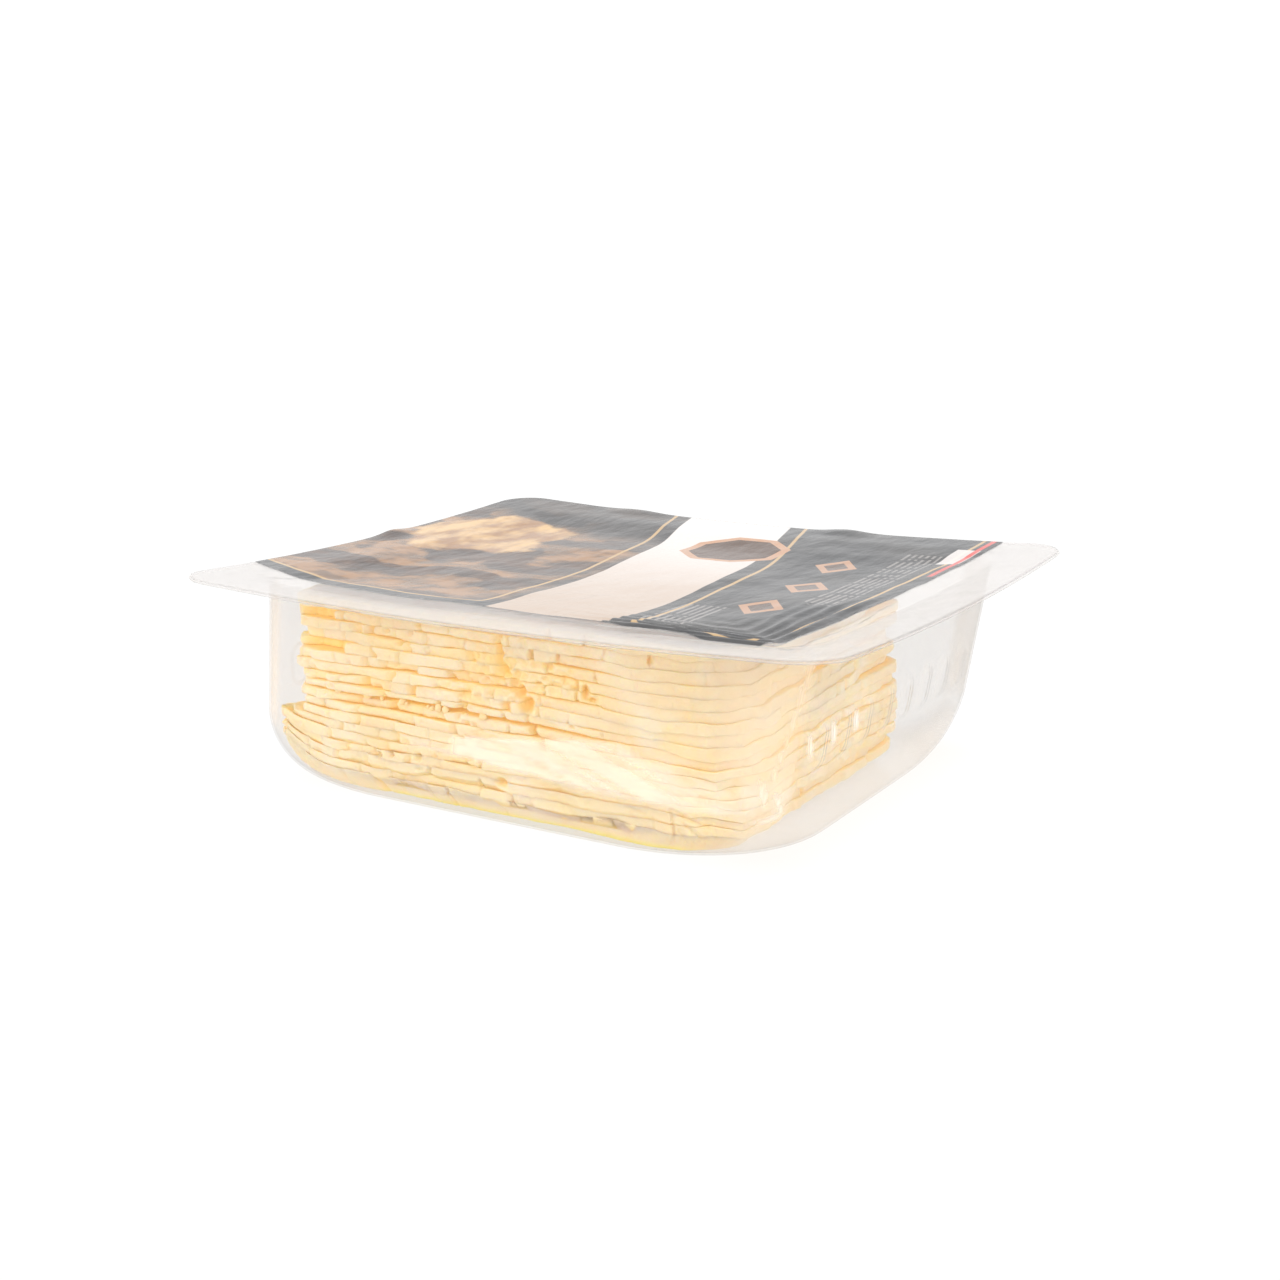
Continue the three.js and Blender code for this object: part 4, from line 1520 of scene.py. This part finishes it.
    def rounded(self, reach: np.ndarray, span: int, spread: float) -> np.ndarray:
        """Round off the corners of an outline.

        Args:
            reach: Reach along each ray.
            span: Rays on either side that count.
            spread: How fast their weight falls off, in rays.

        Returns:
            The rounded reach.
        """
        window = np.exp(-((np.arange(-span, span + 1) / spread) ** 2))
        around = np.concatenate([reach[-span:], reach, reach[:span]])
        return np.convolve(around, window / window.sum(), mode="valid")

    def wobble(self, joint: int, run: np.ndarray, calm_end: np.ndarray) -> np.ndarray:
        """Give a joint's small rises and steps along the torn edge.

        Args:
            joint: Joint's number.
            run: Places along the outline.
            calm_end: Where the slices have run together, from 0 to 1.

        Returns:
            Heights to add at the edge.
        """
        if joint == 0:
            return np.full_like(run, -0.3)
        if joint == self.form.slice_count:
            return np.zeros_like(run)
        soft = Grain(self.seed + 400).layered(run / 11, joint * 5.3, 2)
        random = np.random.default_rng(self.seed + 31 * joint)
        steps = np.zeros_like(run)
        local = run % self.lap
        for place in np.cumsum(random.uniform(8, 26, 40)):
            raised = smooth((local - place) / 0.8) - smooth((local - place - 14) / 0.8)
            steps += random.uniform(-0.22, 0.22) * raised
        slump = 1.2 * Grain(self.seed + 401).layered(run / 8, joint * 0.33, 2) * calm_end
        return 0.3 * soft + np.clip(steps, -0.35, 0.35) * (1 - calm_end) + slump

    def build_slice(self, number: int) -> bpy.types.Object:
        """Make one slice.

        Args:
            number: Slice's number, 1 at the bottom.

        Returns:
            The slice.
        """
        form = self.form
        direction, run, side, slant = self.rays()
        reach = self.pressed_reach(number, direction, self.packed_reach(number, direction))
        middle = np.array(self.middle)
        outline = middle + direction * reach[:, None]
        x, y = outline[:, 0], outline[:, 1]
        lift = form.bowl_lift(x, y)
        calm_end = smooth((x - 22) / 14) * smooth((-y + 5) / 30)
        low_wobble = self.wobble(number - 1, run, calm_end)
        high_wobble = self.wobble(number, run, calm_end)
        low = form.joint(number - 1, x, y, lift) + form.parting(number, x, y) + low_wobble
        high = form.joint(number, x, y, lift) + high_wobble
        stops = np.array(self.edge_stops)[:, None]
        tuck = self.bottom_tuck if number == 1 else 0.0
        if tuck:
            tucked = middle + direction * (reach - tuck)[:, None]
            tucked_x, tucked_y = tucked[:, 0], tucked[:, 1]
            low = form.joint(0, tucked_x, tucked_y, form.bowl_lift(tucked_x, tucked_y)) + low_wobble
        on_front = side == Side.FRONT.value
        calm = self.calmness(number, x, y, side)
        lines = self.joint_line(number - 1, run, calm), self.joint_line(number, run, calm)
        torn = self.torn_depth(number, run, calm, lines)
        torn += self._front_marks(number, x, lerp(low, high, stops), on_front)
        depth = torn + tuck * slant[None, :] * (1 - stops)
        low_gap, high_gap = (0.006 + self.open_gap * line for line in lines)
        edge_z = lerp(low + low_gap, high - high_gap, stops)
        held = reach[None, :] - np.maximum(depth, -0.35) / slant[None, :]
        edge = np.dstack([middle[0] + direction[:, 0] * held, middle[1] + direction[:, 1] * held, edge_z])
        below = self._face(number, number - 1, direction, held[0], low_wobble, low_gap, 1)
        above = self._face(number, number, direction, held[-1], high_wobble, high_gap, -1)
        # Painted shade and glow in the cracks and joints.
        painted_shade_and_glow = self._painted_shade_and_glow(number, torn, calm, lines)
        # Painted light: a yellow glow along the lower front edge of the bottom slice.
        lit = self.underglow_cover * smooth((x + 42) / 12) * smooth((50 - x) / 10) * on_front
        marks = {"painted_shade_and_glow": painted_shade_and_glow, "painted_underglow": self._painted_underglow(number, lit)}
        return close_skin(f"cheese_slice_{number:02d}", np.concatenate([below, edge, above[::-1]]), marks)

    def _painted_shade_and_glow(
        self, number: int, torn: np.ndarray, calm: np.ndarray, lines: tuple[np.ndarray, np.ndarray]
    ) -> np.ndarray:
        """Paint shade and glow into cracks and joints: tell how deep in a crack or a joint each point of a
        slice lies, from 0 to 1.

        Args:
            number: Slice's number, 1 at the bottom.
            torn: How far each point of the edge is sunk.
            calm: How smooth the edge is at each place.
            lines: How plainly the lower and the upper joint show.

        Returns:
            Values for the lower face's rings, the edge's and the upper face's.
        """
        # Painted shade and glow, stronger the deeper a point lies in a crack or joint.
        painted_shade_and_glow = 0.9 * (1 - np.exp(-np.maximum(torn - 0.1, 0) / 1.9))
        for row, line in zip((0, -1), lines):
            painted_shade_and_glow[row] = np.maximum(painted_shade_and_glow[row], lerp(lerp(0.14, 0.11, calm), 0.42, line))
        # The faces show only in the gaps between slices, where they take painted shade and glow.
        below = self.face_painted_shade * (0.2 if number == 1 else 1.0)
        above = self.face_painted_shade * (0.1 if number == self.form.slice_count else 1.0)
        face = (len(self.face_shares), len(calm))
        return np.concatenate([np.full(face, below), painted_shade_and_glow, np.full(face, above)])

    def _painted_underglow(self, number: int, lit: np.ndarray) -> np.ndarray:
        """Paint a yellow glow on the lower edge of the bottom slice, standing in for light from the floor
        under it.

        Args:
            number: Slice's number, 1 at the bottom.
            lit: How strong the painted glow is along the outline.

        Returns:
            Values for the lower face's rings, the edge's and the upper face's.
        """
        faces = len(self.face_shares)
        painted_underglow = np.zeros((2 * faces + len(self.edge_stops), len(lit)))
        if number == 1:
            heights = np.array((0.0, *self.edge_stops))[:, None]
            fade = np.clip(1 - heights / self.underglow_height, 0, 1)
            painted_underglow[faces - 1 : faces + len(self.edge_stops)] = lit * fade
        return painted_underglow

    def _face(
        self,
        number: int,
        joint: int,
        direction: np.ndarray,
        edge_reach: np.ndarray,
        wobble: np.ndarray,
        edge_gap: np.ndarray,
        sign: int,
    ) -> np.ndarray:
        """Lay the rings of a slice's lower or upper face.

        Args:
            number: Slice's number.
            joint: Joint that the face lies on.
            direction: Directions of the rays.
            edge_reach: How far the face reaches along each ray.
            wobble: Rises of the joint at the edge.
            edge_gap: Room left to the joint at the edge.
            sign: 1 for the lower face, -1 for the upper one.

        Returns:
            Rings of points, from the middle out.
        """
        form = self.form
        middle = np.array(self.middle)
        rings = []
        for share in self.face_shares:
            flat = middle + direction * (edge_reach * share)[:, None]
            x, y = flat[:, 0], flat[:, 1]
            near = smooth((share - 0.8) / 0.2)
            z = form.joint(joint, x, y, form.bowl_lift(x, y)) + wobble * near
            if sign > 0:
                z = z + form.parting(number, x, y)
            z = z + sign * lerp(self.inner_gap, edge_gap, near**3)
            rings.append(np.column_stack([flat, z]))
        return np.array(rings)

    def build(self, finish: bpy.types.Material) -> list[bpy.types.Object]:
        """Make and dress every slice.

        Args:
            finish: Material that the slices wear.

        Returns:
            The slices, from the bottom up.
        """
        slices = []
        for number in range(1, self.form.slice_count + 1):
            piece = self.build_slice(number)
            dress(piece, Slot.CHEESE, finish, f"slice_{number:02d}")
            slices.append(piece)
        return slices


@dataclass
class LidFilm:
    """The slack film: flat on the rim, waved and wrinkled over the slices."""

    form: PackForm
    columns: int = 200
    rows: int = 170
    thickness: float = 0.2
    seat: float = 0.08
    edge_inset: float = 0.4

    def plan(self) -> tuple[np.ndarray, np.ndarray]:
        """Lay a square grid whose corners follow the rim's round corners.

        Returns:
            Places along X and along Y, a row for each line of the grid.
        """
        half_x = self.form.rim_width / 2 - self.edge_inset
        half_y = self.form.rim_depth / 2 - self.edge_inset
        radius = self.form.rim_corner - self.edge_inset
        lines_x = np.linspace(-half_x, half_x, self.columns)
        x, y = np.meshgrid(lines_x, np.linspace(-half_y, half_y, self.rows))
        u = np.clip((np.abs(x) - (half_x - radius)) / radius, 0, 1)
        v = np.clip((np.abs(y) - (half_y - radius)) / radius, 0, 1)
        far, near = np.maximum(u, v), np.minimum(u, v)
        turn = math.pi / 4 * near / np.maximum(far, 1e-9)
        long_part, short_part = far * np.cos(turn), far * np.sin(turn)
        in_corner = (u > 0) & (v > 0)
        new_u = np.where(in_corner, np.where(u >= v, long_part, short_part), u)
        new_v = np.where(in_corner, np.where(u >= v, short_part, long_part), v)
        new_x = np.where(u > 0, np.sign(x) * (half_x - radius + radius * new_u), x)
        new_y = np.where(v > 0, np.sign(y) * (half_y - radius + radius * new_v), y)
        return new_x, new_y

    def wrinkles(self, x: np.ndarray, y: np.ndarray) -> np.ndarray:
        """Give the heights of the wrinkles that the slack leaves.

        Args:
            x: Places along X.
            y: Places along Y.

        Returns:
            Heights to add to the film.
        """
        inside = self.form.inside_rim(x, y)
        free = smooth((inside + 1.0) / 9)
        broad = 0.42 * Grain(71).layered(x / 24, y / 20, 2) + 0.14 * Grain(72).layered(x / 7, y / 10, 2)
        from_edge = np.minimum(61 - x, y + 51.5)
        corner = smooth((x - 2) / 34) * smooth((8 - y) / 34)
        lines = np.sin(2 * math.pi * from_edge / 4.2 + 2.6 * Grain(73).at((x + y) / 15, (x - y) / 26))
        puckers = 0.42 * lines * hump(np.maximum(from_edge, 0), 0, 11) * corner
        seal = 0.05 * Grain(74).layered(x / 6, y / 6, 2)
        lift = 0.75 * hump(y, 9, 5) * smooth((-x - 73) / 6)
        lift += (0.7 * hump(x, 22, 6) + 0.5 * hump(x, -40, 7)) * smooth((y - 60) / 6)
        return free * broad + smooth((inside + 5) / 6) * puckers + seal + lift

    def build(self) -> bpy.types.Object:
        """Make the film as one thin closed sheet.

        Returns:
            The film.
        """
        x, y = self.plan()
        under = self.form.film(x, y) - self.form.film_gap + self.seat + self.wrinkles(x, y)
        floor = self.form.rim_height + self.form.curl(x, y) + self.seat
        under = np.where(self.form.inside_rim(x, y) < 0, np.maximum(under, floor), under)
        low = np.dstack([x, y, under]).reshape(-1, 3)
        high = low + np.array([0, 0, self.thickness])
        count = len(low)
        quads = grid_faces(self.rows, self.columns, closed=False)
        numbers = np.arange(count).reshape(self.rows, self.columns)
        border = np.concatenate([numbers[0, :-1], numbers[:-1, -1], numbers[-1, :0:-1], numbers[:0:-1, 0]])
        after = np.roll(border, -1)
        sides = np.column_stack([border, after, after + count, border + count])
        faces = np.vstack([quads[:, ::-1], quads + count, sides])
        return make_piece("printed_lid_film", np.vstack([low, high]), faces)


@dataclass
class Crumbs:
    """Small crumbs of cheese that lie in the parted joint along the front."""

    form: PackForm
    seed: int = 88
    count: int = 15
    smallest: float = 0.4
    largest: float = 1.0

    def build(self) -> bpy.types.Object:
        """Make the crumbs as one mesh of separate lumps.

        Returns:
            The crumbs.
        """
        random = np.random.default_rng(self.seed)
        lump = bpy.data.meshes.new("lump")
        shaper = bmesh.new()
        bmesh.ops.create_icosphere(shaper, subdivisions=2, radius=1.0)
        shaper.to_mesh(lump)
        shaper.free()
        ball = np.array([v.co for v in lump.vertices])
        sides = np.array([p.vertices[:] for p in lump.polygons])
        bpy.data.meshes.remove(lump)
        points, faces = [], []
        for place in self.places(random):
            size = random.uniform(self.smallest, self.largest) * random.uniform(0.7, 1.2, 3)
            rough = 1 + 0.22 * np.sin(ball @ random.normal(0, 2.4, (3, 3))).mean(axis=1)
            faces.append(sides + len(points) * len(ball))
            points.append(ball * rough[:, None] * size + place + np.array([0, 0, size[2] * 0.9]))
        # The crumbs take a little painted crack shade and glow.
        marks = {"painted_shade_and_glow": np.full(len(points) * len(ball), 0.3)}
        empty = np.zeros((0, 4), int)
        return make_piece("cheese_crumbs", np.vstack(points), empty, np.vstack(faces), marks)

    def places(self, random: np.random.Generator) -> list[np.ndarray]:
        """Choose where the crumbs lie.

        Args:
            random: Seeded numbers.

        Returns:
            Points that the crumbs rest on.
        """
        form = self.form
        found = []
        for _ in range(self.count):
            x = random.normal(-13, 5) if random.random() < 0.55 else random.uniform(-46, 14)
            flat = np.array([x]), np.array([random.uniform(-53.6, -52.4)])
            joint = form.joint(form.parting_slice - 1, *flat, form.bowl_lift(*flat))[0]
            found.append(np.array([x, flat[1][0], joint - 0.3]))
        return found


@dataclass(frozen=True)
class SoftBox:
    """One soft lamp: where it stands, its size in metres, and its power in watts."""

    name: str
    place: tuple[float, float, float]
    aim: tuple[float, float, float]
    width: float
    height: float
    power: float
    colour: Colour = (1.0, 0.985, 0.965)

    def build(self) -> None:
        """Add the lamp to the scene."""
        lamp = bpy.data.lights.new(self.name, "AREA")
        lamp.shape = "RECTANGLE"
        lamp.size, lamp.size_y, lamp.energy = self.width, self.height, self.power
        lamp.color = self.colour
        stand = bpy.data.objects.new(self.name, lamp)
        stand.location = self.place
        toward = Vector(self.aim) - Vector(self.place)
        stand.rotation_euler = toward.to_track_quat("-Z", "Y").to_euler()
        bpy.context.scene.collection.objects.link(stand)


@dataclass(frozen=True)
class Studio:
    """White surround, a glowing floor with a painted shadow round the pack, and soft lamps."""

    surround: float = 1.28
    floor_size: float = 9.0
    floor_drop: float = 0.0004
    floor_glow: float = 1.055
    # Painted shadow: how much the floor's glow drops round the pack, its warmer colour there, its size and
    # how far it runs.
    painted_shadow_depth: float = 0.04
    painted_shadow_colour: Colour = (0.99, 0.96, 0.92)
    floor_colour: Colour = (1.0, 1.0, 1.0)
    painted_shadow_size: tuple[float, float] = (0.052, 0.040)
    painted_shadow_run: float = 0.030
    boxes: tuple[SoftBox, ...] = (
        SoftBox("softbox_front_left", (-0.66, -1.08, 0.52), (0, 0, 0.03), 2.2, 1.1, 7.4),
        SoftBox("softbox_right", (1.2, -0.2, 0.55), (0, 0, 0.02), 1.3, 1.0, 4.4),
    )

    def build(self) -> None:
        """Add the surround, the floor and the lamps."""
        world = bpy.data.worlds.new("white_surround")
        world.use_nodes = True
        backing = world.node_tree.nodes["Background"]
        backing.inputs["Color"].default_value = (1, 1, 1, 1)
        backing.inputs["Strength"].default_value = self.surround
        bpy.context.scene.world = world
        for box in self.boxes:
            box.build()
        self._floor()

    def _floor(self) -> None:
        """Lay the pale glowing floor just under the pack, with a painted soft shadow round it."""
        half = self.floor_size / 2 / METRES
        drop = -self.floor_drop / METRES
        corners = ((-half, -half), (half, -half), (half, half), (-half, half))
        points = np.array([(*corner, drop) for corner in corners])
        floor = make_piece("studio_floor", points, np.array([[0, 1, 2, 3]]))
        sheet = NodeSheet("pale_floor")
        # Painted shadow: the floor glows a little less, and warmer, round the pack's footprint.
        squares = []
        for place, reach in zip(sheet.axes(), self.painted_shadow_size):
            beyond = sheet.calc("SUBTRACT", sheet.calc("ABSOLUTE", place), reach)
            squares.append(sheet.calc("POWER", sheet.calc("MAXIMUM", beyond, 0.0), 2.0))
        apart = sheet.calc("SQRT", sheet.calc("ADD", *squares))
        uneven = sheet.calc("MULTIPLY", sheet.noise(12.0), 0.004)
        open_floor = sheet.ramp(sheet.calc("ADD", apart, uneven), 0.0, self.painted_shadow_run)
        colour = sheet.blend(open_floor, self.painted_shadow_colour, self.floor_colour)
        painted_shadow_drop = self.floor_glow * self.painted_shadow_depth
        strength = sheet.calc("MULTIPLY_ADD", open_floor, painted_shadow_drop, self.floor_glow - painted_shadow_drop)
        light = sheet.add("ShaderNodeEmission", {"Color": colour, "Strength": strength})
        floor.data.materials.append(sheet.finish(light.outputs[0]))


@dataclass(frozen=True)
class PhotoCamera:
    """Camera at the photograph's viewing angle; angles in degrees, distance in millimetres."""

    azimuth: float = 31.223
    elevation: float = 14.267
    roll: float = -0.249
    distance: float = 405.09
    target_height: float = 22.75
    focal_pixels: float = 1737.86
    middle_pixel: tuple[float, float] = (638.27, 665.48)
    picture: float = 1280.0
    sensor: float = 36.0

    def build(self) -> bpy.types.Object:
        """Add the camera and make it the scene's own.

        Returns:
            The camera.
        """
        turn, rise, roll = (math.radians(a) for a in (self.azimuth, self.elevation, self.roll))
        back = Vector((math.sin(turn) * math.cos(rise), -math.cos(turn) * math.cos(rise), math.sin(rise)))
        level = Vector((math.cos(turn), math.sin(turn), 0))
        upright = back.cross(level)
        right = level * math.cos(roll) + upright * math.sin(roll)
        up = upright * math.cos(roll) - level * math.sin(roll)
        lens = bpy.data.cameras.new("photo_camera")
        lens.sensor_width = self.sensor
        lens.lens = self.focal_pixels * self.sensor / self.picture
        lens.shift_x = (self.picture / 2 - self.middle_pixel[0]) / self.picture
        lens.shift_y = (self.middle_pixel[1] - self.picture / 2) / self.picture
        lens.clip_start = 0.01
        lens.clip_end = 50.0
        camera = bpy.data.objects.new("photo_camera", lens)
        place = Vector((0, 0, self.target_height * METRES)) + back * self.distance * METRES
        turned = Matrix((right, up, back)).transposed().to_4x4()
        camera.matrix_world = Matrix.Translation(place) @ turned
        bpy.context.scene.collection.objects.link(camera)
        bpy.context.scene.camera = camera
        return camera


def set_view() -> None:
    """Show colours plainly, and let light pass through many clear skins."""
    scene = bpy.context.scene
    scene.view_settings.view_transform = "Standard"
    if hasattr(scene, "cycles"):
        scene.cycles.transparent_max_bounces = 32
        scene.cycles.max_bounces = 9
        scene.cycles.diffuse_bounces = 3


def main() -> None:
    """Build the pack and its studio, piece by piece."""
    logging.basicConfig(level=logging.INFO, format="%(name)s: %(message)s")
    set_view()
    PhotoCamera().build()
    Studio().build()
    form = PackForm.from_frame()
    tray = FormedTray(form).build()
    dress(tray, Slot.TRAY, ClearSheet().build(), "tray")
    tray.visible_shadow = False
    flesh = CheeseFlesh().build()
    SliceStack(form).build(flesh)
    dress(Crumbs(form).build(), Slot.CHEESE, CheeseFlesh(glow=0.1).build())
    dress(LidFilm(form).build(), Slot.FILM, PrintedFilm().build(), "lid_film")


if __name__ == "__main__":
    main()
